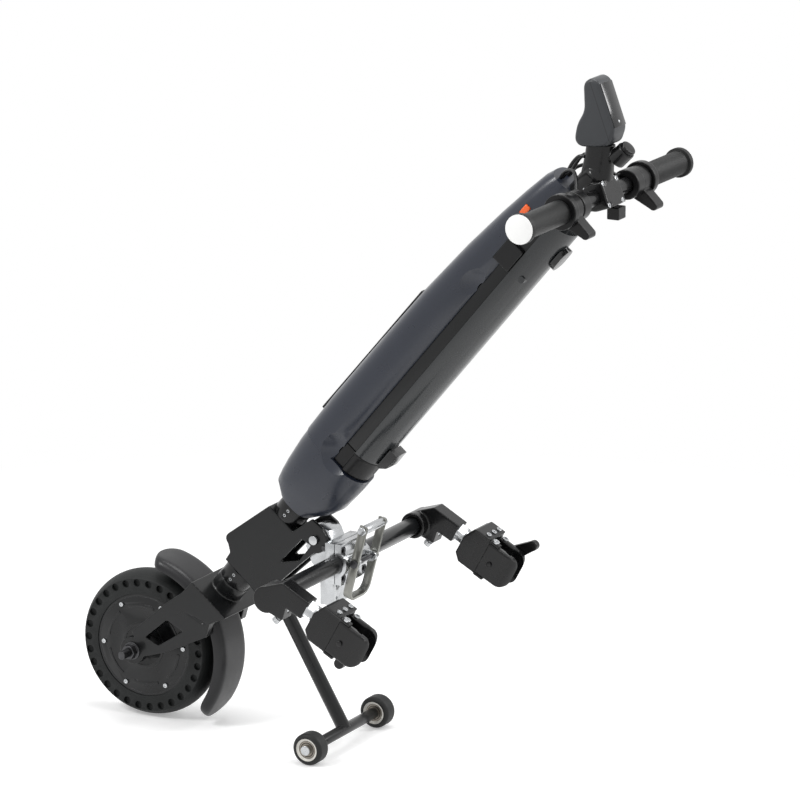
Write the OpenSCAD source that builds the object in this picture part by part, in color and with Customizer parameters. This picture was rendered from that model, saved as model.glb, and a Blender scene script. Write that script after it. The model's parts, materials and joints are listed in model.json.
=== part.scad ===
// Front-drive power add-on for a manual wheelchair.
// X runs rearward to the wheelchair, Y to the vehicle's right, Z up; the wheels stand on Z = 0.

/* [Drive wheel] */
// Diameter of the drive tyre
wheel_d = 215; // [205:1:225]
// Width of the drive tyre
tyre_w = 52; // [48:1:56]
// Height of the tyre's section
tyre_h = 31.5; // [29:0.5:33]
// Diameter of the holes through the tyre's sides
tyre_hole_d = 11; // [8:0.5:12]
// Number of holes through the tyre
tyre_holes = 30; // [20:1:32]
// Width of the motor hub over its covers
hub_w = 50; // [46:1:52]
// Diameter of the circle that the cover screws lie on
cover_pcd = 132.6; // [130:0.2:134]
// Diameter of the fixed axle
axle_d = 12; // [10:0.5:14]
// Length of the fixed axle
axle_len = 172; // [164:1:184]

/* [Fork and mudguard] */
// Angle of the steering axis from the floor
head_angle = 50; // [46:1:56]
// Length of the fork from the top of the crown to the axle, along the steering axis
fork_len = 153.4; // [146:0.2:165]
// Distance of the axle in front of the steering axis
fork_offset = 34.5; // [30:0.5:40]
// Depth of the fork crown, front to rear
crown_w = 72; // [66:1:78]
// Thickness of one fork leg
leg_t = 15; // [12:0.5:18]
// Radial gap between the tyre and the mudguard
guard_gap = 27.5; // [24:0.5:30]
// Wall of the mudguard
guard_wall = 3; // [2:0.5:4]
// Width that the mudguard stands over the tyre on each side
guard_over = 10; // [8:0.5:12]
// Angle that the mudguard covers
guard_sweep = 128; // [100:1:135]

/* [Head] */
// Outer diameter of the steerer tube
steerer_d = 28.6; // [27:0.1:30]
// Length of the head block's barrel
head_len = 114; // [104:1:124]
// Diameter of the collars and width of the head block
collar_d = 48; // [46:0.5:52]
// Height of one collar
collar_h = 24; // [20:0.5:26]
// Thickness of one ear of the head block
ear_t = 6; // [5:0.5:8]
// Distance of the coupler pivot behind the steering axis
ear_reach = 56; // [52:0.5:62]
// Radius of an ear round the pivot
ear_r = 20; // [17:0.5:21]

/* [Coupler and cross tube] */
// Distance of the cross tube behind the coupler pivot
tube_back = 39; // [37:0.5:46]
// Distance of the cross tube below the coupler pivot
tube_drop = 28; // [25:0.5:31]
// Outer diameter of the cross tube
tube_d = 25.4; // [24:0.1:28]
// Width of the coupler's saddle
saddle_w = 72; // [68:1:80]

/* [Arms and wheelchair clamps] */
// Distance between the middles of the two clamps
clamp_track = 434; // [424:2:460]
// Distance of an arm's end face behind the cross tube
arm_reach = 62; // [58:0.5:70]
// Width of one arm
arm_w = 26; // [22:0.5:30]
// Angle that the clamps dip to the rear
clamp_dip = 28.7; // [20:0.1:35]
// Diameter of the wheelchair tube that the jaws hold
frame_tube_d = 25.4; // [22:0.1:28]
// Height of the jaws along the wheelchair tube
jaw_h = 52; // [44:1:56]
// Length of a clamp lever from its pivot to the middle of its tip
lever_len = 52; // [46:1:60]

/* [Release handle] */
// Height of the bent loop
handle_h = 116; // [108:1:122]
// Outer width of the bent loop
handle_w = 58; // [56:1:64]
// Width of the flat bar
handle_bar_w = 12; // [10:0.5:13]

/* [Stand] */
// Diameter of the stand's wheels
stand_wheel_d = 46; // [42:1:50]
// Width of the stand's wheels
stand_wheel_w = 24.6; // [20:0.2:28]
// Distance between the middles of the stand's wheels
stand_track = 192.8; // [180:0.4:210]
// Distance of the stand's axle behind the drive axle
stand_back = 316; // [304:1:324]
// Diameter of the stand's leg
stand_leg_d = 20; // [16:0.5:22]

/* [Column and battery] */
// Length of the moulded column shell below the battery
shell_foot = 143; // [136:1:160]
// Length of the moulded column shell above the battery
shell_head = 49; // [46:1:60]
// Greatest width of the column shell
shell_w = 84; // [80:1:92]
// Greatest depth of the shell in front of the steering axis
shell_front = 60; // [58:0.5:66]
// Length of the battery
battery_len = 469; // [440:1:500]
// Radius of the battery's round back
battery_r = 34; // [31:0.5:35]
// Outer diameter of the spine tube inside the shell
spine_d = 30; // [26:0.5:31]

/* [Handlebar and display] */
// Distance of the handlebar above the shell's upper end, along the steering axis
bar_over = 20; // [16:1:32]
// Distance of the handlebar behind the steering axis
bar_back = 43; // [40:0.5:46]
// Outer diameter of the handlebar
bar_d = 22.2; // [20:0.1:25.4]
// Width over the ends of the grips
bar_w = 482.6; // [470:0.2:500]
// Length of one grip
grip_len = 116; // [110:1:122]
// Diameter of a grip's body
grip_d = 34; // [30:0.5:36]
// Length of a thumb paddle from the bar's middle
paddle_len = 50; // [44:1:56]
// Height of the display's housing
display_h = 97; // [90:1:104]
// Width of the display's housing
display_w = 40; // [36:1:48]

/* [Hidden] */
$fn = 64;

// Overrun of every cut
over = 1;
// Gap between bodies on curved or sliding faces
run_gap = 0.3;
// Gap of a seat inside one body
seat_gap = 0.05;
// Radial gap of a running shaft
shaft_gap = 0.05;
// Sides of a hexagon
hex = 6;
// The two sides: left is -1, right is 1
sides = [-1, 1];

// Drive wheel
wheel_r = wheel_d / 2;
rim_r = wheel_r - tyre_h;
tread_crown_r = 40;
hub_lip = 4;
hub_wall = 15;
hub_in_r = rim_r - hub_wall;
cover_t = 7;
cover_r = rim_r - hub_lip - seat_gap;
cover_in_y = hub_w / 2 - cover_t;
cover_boss_r = 22;
cover_boss_h = 3;
cover_lip_t = 2;
cover_lip_r = 9;
rib_r = 58.5;
rib_w = 4;
rib_h = 1.2;
rib_angle = 42;
hub_ring_r = 34;
screw_first_angle = 63;
cover_screw_count = 6;
cover_screw_d = 4;
cover_screw_len = 13;
cover_head_d = 6.5;
cover_head_h = 2;
socket_share = 0.5;
hex_share = 0.8;
magnet_t = 4;
magnet_w = 30;
air_gap = 0.7;
stator_r = hub_in_r - magnet_t - air_gap;
stator_w = 20;
tooth_count = 18;
tooth_w = 7;
tooth_tip_h = 4;
tooth_slot = 2.5;
stator_yoke_r = 32;
coil_t = 2;
coil_len = stator_r - tooth_tip_h - stator_yoke_r - 3 * coil_t;
bearing_d = 28;
bearing_w = 8;
axle_flat = 10;
nut_af = 19;
nut_h = 10;
washer_t = 2;
washer_r = 13;

// Fork and mudguard
rake = 90 - head_angle;
guard_in_r = wheel_r + guard_gap;
guard_out_r = guard_in_r + guard_wall;
guard_half = tyre_w / 2 + guard_over;
guard_corner = 12;
guard_skirt = 12;
guard_start = -45;
// Corner rounds of the mudguard's lower and upper ends
guard_low_corner = 35.5;
guard_top_corner = 22;
guard_leg_gap = 6;
leg_in = guard_half + guard_leg_gap;
leg_out = leg_in + leg_t;
crown_boss_h = 22;
dropout_r = 20;
window_inset = 1.5;

// Head
head_top = -collar_h / 2 - run_gap;
head_bot = head_top - head_len;
lower_collar_top = head_bot - run_gap;
lower_collar_bot = lower_collar_top - collar_h;
crown_t = lower_collar_bot - crown_boss_h;
axle_t = crown_t - fork_len;
steer_x = -axle_t * sin(rake) + fork_offset * cos(rake);
steer_z = wheel_r - axle_t * cos(rake) - fork_offset * sin(rake);
steerer_wall = 3;
steerer_up = 30;
steerer_down = 12;
head_bearing_d = 40;
head_bearing_h = 11;
barrel_r = collar_d / 2;
ear_up = 5;
ear_in = barrel_r - ear_t;
slot_step = 2;
slot_front = barrel_r + slot_step;
pivot_d = 12;
pivot_head_r = 6.5;
pivot_head_h = 5;
set_screw_d = 5;
set_screw_len = 9;
set_screw_pitch = 9;
// Outline of the head block: shares of the ear's reach to the rear, and of the barrel's length down
head_front_shares = [[-0.46, 0], [-0.81, 0.7], [-0.65, 0.81], [-0.46, 0.88], [-0.43, 1]];
head_corner_share = [-0.65, 0.725];
head_corner_r = 9.5;
head_rear_shares = [[0.43, 1], [0.92, 1.02], [1.11, 0.3], [1.2, 0.0], [1.0, -0.34], [0.6, -0.32], [0.43, 0]];
head_window_shares = [[0.74, -0.02], [1.02, -0.05], [1.04, 0.22], [0.68, 0.44]];
// Outlines of the fork: shares of the crown's depth to the rear, and of the fork's length down
leg_shares = [[-0.45, 0], [-0.47, 0.17], [-0.57, 0.35], [-0.74, 0.86], [-0.22, 0.95],
    [0.06, 0.75], [0.49, 0.30], [0.37, 0.17], [0.55, 0]];
leg_window_shares = [[-0.45, 0.79], [-0.34, 0.49], [0.06, 0.44], [-0.14, 0.75]];
crown_shares = [[-0.45, 0], [-0.48, 0.2], [0.1, 0.5], [0.49, 0.30], [0.37, 0.17], [0.55, 0]];
crown_panel_shares = [[-0.25, 0.29], [0.27, 0.23], [0.33, 0.18]];

// Coupler, cross tube and arms
pivot = [steer_x + ear_reach * cos(rake) + ear_up * sin(rake), 0,
    steer_z - ear_reach * sin(rake) + ear_up * cos(rake)];
tube_r = tube_d / 2;
tube_wall = 2.5;
tube_x = pivot[0] + tube_back;
tube_z = pivot[2] - tube_drop;
knuckle_step = 1;
knuckle_r = ear_r - knuckle_step;
knuckle_half = ear_in - run_gap;
saddle_top = 30;
saddle_bot = 29;
saddle_front = 15;
split_gap = 1;
cap_flange_t = 10;
cap_arch_wall = 6;
bolt_pitch_y = 58;
bolt_d = 8;
bolt_head_d = 13;
bolt_wall = 0.8;
bolt_pitch_z = 2 * (tube_r + bolt_wall) + bolt_head_d;
bolt_head_h = 8;
bolt_len = 26;
lock_w = 44;
lock_front = 31;
lock_depth = 20;
lock_h = 36;
lock_mark = 2;
// Outline of the coupler's tongue: shares of the tube's distance behind and below the pivot
tongue_shares = [[0, 0.68], [0.5, 0.5], [0.65, 0.0], [0.65, -2.03], [0.36, -2.03],
    [-0.2, -1.29], [-0.45, -0.45]];
arm_cap_t = 3;
arm_ring_in = 14;
arm_ring_r = 19;
arm_h = 28;
arm_y = clamp_track / 2;
tube_half = arm_y + arm_w / 2 - arm_cap_t;
arm_drop = 7;
arm_elbow_shares = [[-0.1, 0.28], [0.45, 0.45]];
arm_belly_shares = [[0.52, -0.12], [0.42, -0.42], [0.1, -0.29]];
pinch_shares = [0.36, -0.3];
pinch_d = 6;
pinch_head_d = 11;
pinch_head_h = 7;
pinch_len = 24;
pinch_down = 12;
pinch_turn = 45;
arm_end = [tube_x + arm_reach, 0, tube_z - arm_drop];

// Wheelchair clamps, along the dip (u) and square to it (v)
stud_d = 14;
stud_in = 16;
stud_nut_af = 24;
stud_nut_h = 12;
body_u = 15;
body_len = 40;
body_half = 20;
body_top = 30;
body_bot = 29;
body_chamfer = 10;
lug_len = 15;
lug_t = 4.5;
lug_half = 5;
plate_half = 25;
plate_t = 3;
plate_u = 27;
plate_len = 27;
plate_screw_pitch = 15.5;
plate_screw_u = 46;
plate_screw_d = 4;
plate_screw_len = 10;
jaw_face = 10;
jaw_wall = 8;
jaw_u = body_u + body_len + run_gap;
jaw_pin_u = 61;
jaw_pin_y = 16;
jaw_pin_d = 5;
jaw_out = 21;
// Both clamps are alike: the sliding jaw and the lever are on the right of each
jaw_way = 1;
grip_u = 87;
frame_r = frame_tube_d / 2;
jaw_r = frame_r + jaw_wall;
rod_d = 8;
rod_u = 69;
rod_v = -2;
rod_nut_r = 4;
rod_nut_h = 2.5;
lever_hub_r = 13;
lever_tip_r = 7.5;
// Outline of a lever's arm: shares of its length, and of its hub's radius
lever_shares = [[0, -0.95], [1, -0.55], [1, 0.55], [0, 0.95]];
lever_t = 11;
rod_end = jaw_out + run_gap + lever_t;
// Angles of the left and right levers below the rear
lever_below = [120, -26];

// Release handle
handle_t = 4;
handle_lean = 15;
handle_bend = 16;
handle_back = 27.5;
handle_rise = 3;
handle_pivot = [tube_x + handle_back, 0, tube_z + handle_rise];
handle_pin_up_share = 0.5;
handle_low = -handle_h * handle_pin_up_share;
handle_top = handle_h + handle_low;
handle_pin_d = 6;
lug_r = 7.5;
lug_w = 5;
handle_in = handle_w / 2 - handle_t;
roller_r = 6.5;
roller_head_r = 6;
roller_head_h = 4;

// Stand
stand_p = 50;
stand_t_share = 0.875;
stand_t = head_top - stand_t_share * head_len;
stand_pivot = [steer_x + stand_p * cos(rake) + stand_t * sin(rake), 0,
    steer_z - stand_p * sin(rake) + stand_t * cos(rake)];
stand_run = stand_back - stand_pivot[0];
stand_fall = stand_pivot[2] - stand_wheel_d / 2;
stand_leg_len = sqrt(stand_run * stand_run + stand_fall * stand_fall);
stand_lean = atan2(stand_run, stand_fall);
stand_tube_half = stand_track / 2 - stand_wheel_w / 2 - run_gap;
stand_knuckle_r = 13;
stand_axle_d = 16;
stand_bolt_d = 8;
stand_bolt_in = 14;
stand_head_r = 7;
stand_head_h = 4;
stand_ring_r = 16;
stand_tyre_corner = 5;
stand_hub_inset = 2;

// Column shell, battery and stem: places along the steering axis (t) and to the rear of it (p)
shell_gap = 1;
shell_t = collar_h / 2 + shell_gap;
shell_len = shell_foot + battery_len + shell_head;
shell_top = shell_t + shell_len;
shell_rear = 56;
shell_shares = [0, 0.018, 0.041, 0.071, 0.13, 0.163, 0.1645, 0.26, 0.43, 0.6, 0.74, 0.85, 0.925, 0.98, 1];
shell_front_shares = [0.5, 0.77, 0.83, 0.88, 0.95, 0.965, 0.97, 1, 0.985, 0.95, 0.86, 0.74, 0.63, 0.53, 0.45];
shell_rear_shares = [0.48, 0.62, 0.82, 0.96, 1, 1, 0.2, 0.2, 0.2, 0.2, 0.2, 0.2, 0.22, 0.28, 0.25];
shell_width_shares = [0.62, 0.7, 0.79, 0.9, 0.97, 0.98, 0.98, 1, 1, 1, 0.97, 0.9, 0.82, 0.72, 0.64];
shell_sides = 40;
shell_power = 2.5;
// Round scoops in the shell's sides at the battery's two ends
scoop_r = 55;
scoop_deep = 12.5;
scoop_p = 12;
scoop_low = 20;
scoop_high = 146;
spine_p = -20;
spine_wall = 3;
spine_t = 48;
neck_h = 40;
neck_socket_r = 19;
neck_socket_t = 44;
neck_socket_len = 36;
strip_shares = [0.2103, 0.5779];
strip_w = 14;
strip_deep = 10;
strip_proud = 3.5;
strip_lean_share = 0.96;
// Ring of the shell where its chin ends and the battery bay begins
chin_ring = 6;
dock_t = shell_t + shell_shares[chin_ring] * shell_len + seat_gap;
dock_gap = 0.6;
battery_t = shell_t + shell_foot;
battery_top = battery_t + battery_len;
battery_p = 20;
battery_front = 2;
battery_band = 22;
battery_slab = 30;
latch_w = 30;
latch_out = 12;
latch_len = 33;
latch_slope = 8;
// Guides that hold the battery's upper end: depth in front and to the rear, length and place below its top
guide_front = 8;
guide_rear = 21;
guide_out = 39;
guide_len = 38;
guide_down = 59;
bay_gap = 0.6;
port_w = 28;
port_len = 38;
port_rise = 8;
port_up = 43;
lock_r = 5;
lock_p = 41;
lock_in = 4;
lock_up_share = 0.8;
controller_t = 72;
controller_len = 46;
controller_p = 4;
controller_deep = 36;
controller_w = 48;
stem_in = 45.7;
stem_t = shell_top - stem_in;
spine_end = stem_t - seat_gap;
stem_p = 22;
stem_r = 21;
stem_len = 98;
stem_foot_p = -28;
stem_foot_len = 34;
stem_foot_half = 15;
stem_clamp_r = 19;
stem_clamp_half = 26;
bracket_w = 44;
bracket_half = 13;
// Outline of the display bracket: shares of its width to the rear, and of the display's height over the bar
bracket_shares = [[-0.5, 0.45], [0.32, 0.45], [0.45, 1.14], [-0.5, 1.14]];
switch_down = 62;
switch_t = shell_top - switch_down;
switch_p = -16;
switch_out = 37.8;
switch_in = 24;
switch_w = 16;
switch_h = 9;
switch_travel = 1.5;

// Handlebar and display
bar_up = shell_top + bar_over;
bar_x = steer_x + bar_back * cos(rake) + bar_up * sin(rake);
bar_z = steer_z - bar_back * sin(rake) + bar_up * cos(rake);
bar_wall = 2.2;
bar_end_in = 4;
grip_flange_r = 20.7;
grip_flange_w = 8;
grip_disc_r = 20;
grip_disc_t = 1.5;
paddle_w = 22;
paddle_collar_w = 12;
paddle_collar_r = 24.5;
paddle_y = bar_w / 2 - grip_len - seat_gap - paddle_collar_w - run_gap - paddle_w;
paddle_ring_r = 20;
paddle_tip_r = 6;
paddle_angle = -44;
paddle_body_r = 21;
paddle_body_w = 20;
cap_tilt = 20;
cap_screw_y = 20;
cap_screw_z = 15.2;
cap_screw_d = 4;
cap_screw_len = 28;
cap_screw_head_d = 7;
cap_screw_head_h = 4;
cap_t = 19;
cap_corner = 8;
switch_block_w = 22;
switch_block_h = 17;
switch_block_d = 18;
switch_block_x = 3;
switch_block_top = 18.4;
switch_block_y = 20;
display_d = 62;
display_fwd = 34;
display_up = 66;
display_x = bar_x - display_fwd;
display_z = bar_z + display_up;
display_shares = [[0.4, 1], [0.21, 0.91], [0.24, 0.52], [0.06, 0.32], [0, 0.09], [0.15, 0],
    [0.87, 0.05], [1, 0.29], [0.61, 0.95]];
screen_inset = 1.2;
screen_margin = 3;
screen_t = 2.5;
// Lower and upper corners of the display's rear face, which the screen lies in
screen_low = spread([display_shares[7]], display_d, display_h, display_x, display_z)[0];
screen_high = spread([display_shares[8]], display_d, display_h, display_x, display_z)[0];
screen_lean = atan2(screen_low[0] - screen_high[0], screen_high[1] - screen_low[1]);
screen_len = norm(screen_high - screen_low) - 2 * screen_margin;
button_x = 37;
button_z = 66;
button_tilt = 45;
button_r = 11;
button_h = 3;
button_in = 5;
button_seat_r = 13;
button_seat_h = 24;
button_travel = 2;

// Cables: diameter, sides and hand-chosen routes from the bar's middle, rearward, right and up
cable_d = 5;
cable_sides = 8;
cable_steps = 4;
cable_routes = [
    [[-54.9, -8, 20.2], [-48, -8, 29], [-40, -8, 42], [-31, -8, 51], [-22.1, -8, 52]],
    [[-54.9, 8, 20.2], [-48, 8, 29], [-40, 8, 42], [-31, 8, 51], [-22.1, 8, 52]],
    [[-54.9, -14.5, 20.2], [-47, -16, 30], [-31, -26, 35], [-19, -40, 29], [-11, -54, 19],
        [-8, -62, 14], [-8, -70.6, 14]],
    [[-54.9, 14.5, 20.2], [-47, 16, 30], [-31, 26, 35], [-19, 40, 29], [-11, 54, 19],
        [-8, 62, 14], [-8, 70.6, 14]]
];

// The origin lies under the middle of the overall length
paddle_tip_x = bar_x + (paddle_len - paddle_tip_r) * cos(paddle_angle) + paddle_tip_r;
button_out = button_travel + button_h;
button_rear_x = bar_x + button_x + button_out * sin(button_tilt) + button_r * cos(button_tilt);
origin_x = (max(paddle_tip_x, button_rear_x) - wheel_r) / 2;

// Places everything with the origin under the middle
module place() { translate([-origin_x, 0, 0]) children(); }

// Frame of the drive axle: local Z along the axle, local X rearward, local Y up
module on_axle() { translate([0, 0, wheel_r]) rotate([90, 0, 0]) children(); }

// Frame of the steering axis: local Z up the axis, local X to its rear
module steer() { translate([steer_x, 0, steer_z]) rotate([0, rake, 0]) children(); }

// Frame of a wheelchair clamp: local X along the dip, local Z square to it
module clamp(side) {
    translate([arm_end[0], side * arm_y, arm_end[2]]) rotate([0, clamp_dip, 0]) children();
}

// An outline in X and Z, thick along Y
module plate(thick, y = 0) {
    translate([0, y, 0]) rotate([90, 0, 0]) linear_extrude(height = thick, center = true) children();
}

// A cylinder along Y about the local origin
module rod_y(r, len, y = 0) {
    translate([0, y, 0]) rotate([90, 0, 0]) cylinder(r = r, h = len, center = true);
}

// A box with its middle at the origin across X and Y, from the floor up
module block(x, y, z) { translate([-x / 2, -y / 2, 0]) cube([x, y, z]); }

// A hexagon prism of a given width across flats
module hexagon(af, h) { cylinder(d = af / cos(180 / hex), h = h, $fn = hex); }

// A socket screw pointing down from its seat at the origin
module socket_screw(d, len, head_d, head_h) {
    difference() {
        union() {
            translate([0, 0, -len]) cylinder(d = d, h = len);
            cylinder(d = head_d, h = head_h);
        }
        translate([0, 0, head_h * socket_share]) hexagon(d * hex_share, head_h);
    }
}

// A rounded box outline, square at the bottom and round at its two upper corners
module arch(half, low, high, corner) {
    union() {
        translate([low, -half]) square([high - corner - low, 2 * half]);
        translate([low, -half + corner]) square([high - low, 2 * (half - corner)]);
        for (s = sides) translate([high - corner, s * (half - corner)]) circle(r = corner);
    }
}

// Points of an outline from a table of shares of two sizes
function spread(shares, wide, tall, x0 = 0, y0 = 0) = [for (q = shares) [x0 + q[0] * wide, y0 + q[1] * tall]];

// Drive wheel

module tyre() {
    color([0.17, 0.18, 0.18]) place() on_axle() difference() {
        rotate_extrude() intersection() {
            translate([rim_r, -tyre_w / 2]) square([tyre_h, tyre_w]);
            translate([wheel_r - tread_crown_r, 0]) circle(r = tread_crown_r);
        }
        for (i = [0 : tyre_holes - 1]) rotate(i * 360 / tyre_holes)
            translate([rim_r + tyre_h / 2, 0, -tyre_w / 2 - over])
                cylinder(d = tyre_hole_d, h = tyre_w + 2 * over);
    }
}

module cover_screw_places() {
    for (m = [0, 1]) mirror([0, 0, m]) for (i = [0 : cover_screw_count - 1])
        rotate(screw_first_angle + i * 360 / cover_screw_count) translate([cover_pcd / 2, 0, hub_w / 2]) children();
}

module hub_shell() {
    color([0.2, 0.2, 0.21]) place() on_axle() difference() {
        union() {
            cylinder(r = rim_r - seat_gap, h = 2 * cover_in_y, center = true);
            rotate_extrude() for (s = sides)
                translate([rim_r - seat_gap - hub_lip, s > 0 ? cover_in_y - over : -hub_w / 2])
                    square([hub_lip, cover_t + over]);
        }
        cylinder(r = hub_in_r, h = hub_w, center = true);
        cover_screw_places() translate([0, 0, -cover_t - cover_screw_len])
            cylinder(d = cover_screw_d + 2 * seat_gap, h = cover_screw_len + over);
    }
}

module hub_cover() {
    difference() {
        union() {
            translate([0, 0, cover_in_y]) cylinder(r = cover_r, h = cover_t);
            translate([0, 0, cover_in_y - cover_boss_h]) cylinder(r = cover_boss_r, h = cover_t + cover_boss_h);
            translate([0, 0, hub_w / 2 - over]) rotate_extrude()
                translate([hub_ring_r - rib_w, 0]) square([rib_w, rib_h + over]);
            for (i = [0 : cover_screw_count - 1])
                rotate(screw_first_angle + (i + 0.5) * 360 / cover_screw_count - rib_angle / 2)
                    translate([0, 0, hub_w / 2 - over]) rotate_extrude(angle = rib_angle)
                        translate([rib_r - rib_w / 2, 0]) square([rib_w, rib_h + over]);
        }
        translate([0, 0, cover_in_y - cover_boss_h - over])
            cylinder(d = bearing_d + 2 * seat_gap, h = cover_t + cover_boss_h + over - cover_lip_t);
        cylinder(r = cover_lip_r, h = hub_w);
        for (i = [0 : cover_screw_count - 1]) rotate(screw_first_angle + i * 360 / cover_screw_count)
            translate([cover_pcd / 2, 0, 0]) cylinder(d = cover_screw_d + 2 * seat_gap, h = hub_w);
    }
}

module hub_covers() {
    color([0.16, 0.17, 0.17]) place() on_axle() {
        hub_cover();
        mirror([0, 0, 1]) hub_cover();
    }
}

module cover_screws() {
    color("silver") place() on_axle() cover_screw_places()
        socket_screw(cover_screw_d, cover_t + cover_screw_len - over, cover_head_d, cover_head_h);
}

module magnet_ring() {
    color([0.45, 0.45, 0.47]) place() on_axle() difference() {
        cylinder(r = hub_in_r - seat_gap, h = magnet_w, center = true);
        cylinder(r = hub_in_r - magnet_t, h = magnet_w + 2 * over, center = true);
    }
}

module hub_bearings() {
    color("silver") place() on_axle() for (m = [0, 1]) mirror([0, 0, m])
        translate([0, 0, hub_w / 2 - cover_lip_t - bearing_w]) difference() {
            cylinder(d = bearing_d, h = bearing_w);
            translate([0, 0, -over]) cylinder(d = axle_d + 2 * shaft_gap, h = bearing_w + 2 * over);
        }
}

// Motor parts that stand still

module stator() {
    color([0.5, 0.42, 0.35]) place() on_axle() {
        difference() {
            union() {
                cylinder(r = stator_yoke_r, h = stator_w, center = true);
                for (i = [0 : tooth_count - 1]) rotate(i * 360 / tooth_count)
                    translate([0, -tooth_w / 2, -stator_w / 2])
                        cube([stator_r - tooth_tip_h / 2, tooth_w, stator_w]);
                difference() {
                    cylinder(r = stator_r, h = stator_w, center = true);
                    cylinder(r = stator_r - tooth_tip_h, h = stator_w + over, center = true);
                    for (i = [0 : tooth_count - 1]) rotate((i + 0.5) * 360 / tooth_count)
                        translate([0, -tooth_slot / 2, -stator_w / 2 - over])
                            cube([stator_r + over, tooth_slot, stator_w + 2 * over]);
                }
            }
            cylinder(d = axle_d + 2 * seat_gap, h = stator_w + over, center = true);
        }
        for (i = [0 : tooth_count - 1]) rotate(i * 360 / tooth_count)
            translate([stator_yoke_r + 2 * coil_t, 0, 0]) difference() {
                cube([coil_len, tooth_w + 2 * coil_t, stator_w + 2 * coil_t], center = true);
                cube([stator_r, tooth_w + 2 * seat_gap, stator_w + 2 * seat_gap], center = true);
            }
    }
}

module motor_axle() {
    color("silver") place() on_axle() difference() {
        cylinder(d = axle_d, h = axle_len, center = true);
        for (m = [0, 1], s = sides) mirror([0, 0, m])
            translate([s * (axle_flat / 2 + axle_d / 2), 0, leg_in + axle_len / 4])
                cube([axle_d, 2 * axle_d, axle_len / 2], center = true);
    }
}

module axle_nuts() {
    color([0.6, 0.6, 0.6]) place() on_axle() for (m = [0, 1]) mirror([0, 0, m]) {
        translate([0, 0, leg_out]) difference() {
            cylinder(r = washer_r, h = washer_t);
            translate([0, 0, -over]) cylinder(d = axle_d + 2 * seat_gap, h = washer_t + 2 * over);
        }
        translate([0, 0, leg_out + washer_t]) difference() {
            hexagon(nut_af, nut_h);
            translate([0, 0, -over]) cylinder(d = axle_d + 2 * seat_gap, h = nut_h + 2 * over);
        }
    }
}

// Fork, mudguard and steering

module fork_outline(shares) { polygon(spread(shares, crown_w, -fork_len, 0, crown_t)); }

module fork() {
    color([0.18, 0.19, 0.2]) place() difference() {
        union() {
            for (s = sides) steer() plate(leg_t, s * (leg_in + leg_t / 2)) difference() {
                union() {
                    fork_outline(leg_shares);
                    translate([-fork_offset, axle_t]) circle(r = dropout_r);
                }
                fork_outline(leg_window_shares);
            }
            difference() {
                steer() plate(2 * leg_in + leg_t) fork_outline(crown_shares);
                on_axle() cylinder(r = guard_out_r + seat_gap, h = 2 * leg_in + leg_t / 2, center = true);
            }
            steer() translate([0, 0, crown_t - over]) cylinder(d = collar_d, h = crown_boss_h + over);
        }
        steer() translate([0, 0, crown_t - steerer_down]) cylinder(d = steerer_d + 2 * seat_gap, h = fork_len);
        for (s = sides) steer() plate(window_inset * 2, s * leg_out) fork_outline(crown_panel_shares);
        on_axle() cylinder(d = axle_d + 2 * seat_gap, h = axle_len + 2 * over, center = true);
        on_axle() for (s = sides) translate([0, 0, s * leg_out]) rotate(head_angle)
            translate([-dropout_r * 2, -axle_flat / 2 - seat_gap, -leg_t - over])
                cube([dropout_r * 2, axle_flat + 2 * seat_gap, 2 * leg_t + 2 * over]);
    }
}

// Angle that a length takes up along the mudguard
function guard_angle(length) = length / guard_out_r * 180 / PI;

// What rounds the two corners of a mudguard's end at an angle; the guard goes on to the way's side
module guard_cuts(at, way, corner) {
    rotate(at + way * guard_angle(corner)) translate([guard_out_r, 0, 0]) rotate([0, 90, 0])
        for (s = sides) difference() {
            low = [s > 0 ? guard_half - corner : -guard_half - over, way > 0 ? -corner - over : 0, -guard_half];
            translate(low) cube([corner + over, corner + over, 2 * guard_half]);
            translate([s * (guard_half - corner), 0, -guard_half - over])
                cylinder(r = corner, h = 2 * (guard_half + over));
        }
}

module mudguard() {
    color([0.23, 0.23, 0.24]) place() on_axle() difference() {
        rotate(guard_start) rotate_extrude(angle = guard_sweep) difference() {
            arch(guard_half, guard_in_r - guard_skirt, guard_out_r, guard_corner);
            arch(guard_half - guard_wall, guard_in_r - guard_skirt - over, guard_in_r, guard_corner - guard_wall);
        }
        guard_cuts(guard_start, 1, guard_low_corner);
        guard_cuts(guard_start + guard_sweep, -1, guard_top_corner);
    }
}

module steerer_tube() {
    color("silver") place() steer() translate([0, 0, crown_t - steerer_down]) difference() {
        cylinder(d = steerer_d, h = steerer_down + steerer_up - crown_t);
        translate([0, 0, -over]) cylinder(d = steerer_d - 2 * steerer_wall, h = shell_len);
    }
}

module collar(t) {
    translate([0, 0, t]) difference() {
        cylinder(d = collar_d, h = collar_h);
        translate([0, 0, -over]) cylinder(d = steerer_d + 2 * seat_gap, h = collar_h + 2 * over);
        for (k = sides) translate([0, 0, collar_h / 2 + k * set_screw_pitch / 2]) rotate([90, 0, 0])
            cylinder(d = set_screw_d + 2 * seat_gap, h = collar_d);
    }
}

module head_collars() {
    color([0.15, 0.15, 0.16]) place() steer() {
        collar(lower_collar_bot);
        collar(-collar_h / 2);
    }
}

module steering_screws() {
    color("silver") place() {
        steer() for (t = [lower_collar_bot, -collar_h / 2], k = sides)
            translate([0, -steerer_d / 2 - seat_gap, t + collar_h / 2 + k * set_screw_pitch / 2]) rotate([90, 0, 0])
                difference() {
                    cylinder(d = set_screw_d, h = set_screw_len);
                    translate([0, 0, set_screw_len * socket_share])
                        hexagon(set_screw_d * socket_share, set_screw_len);
                }
        bar_frame() cap_screw_places() stem_screw();
    }
}

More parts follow.
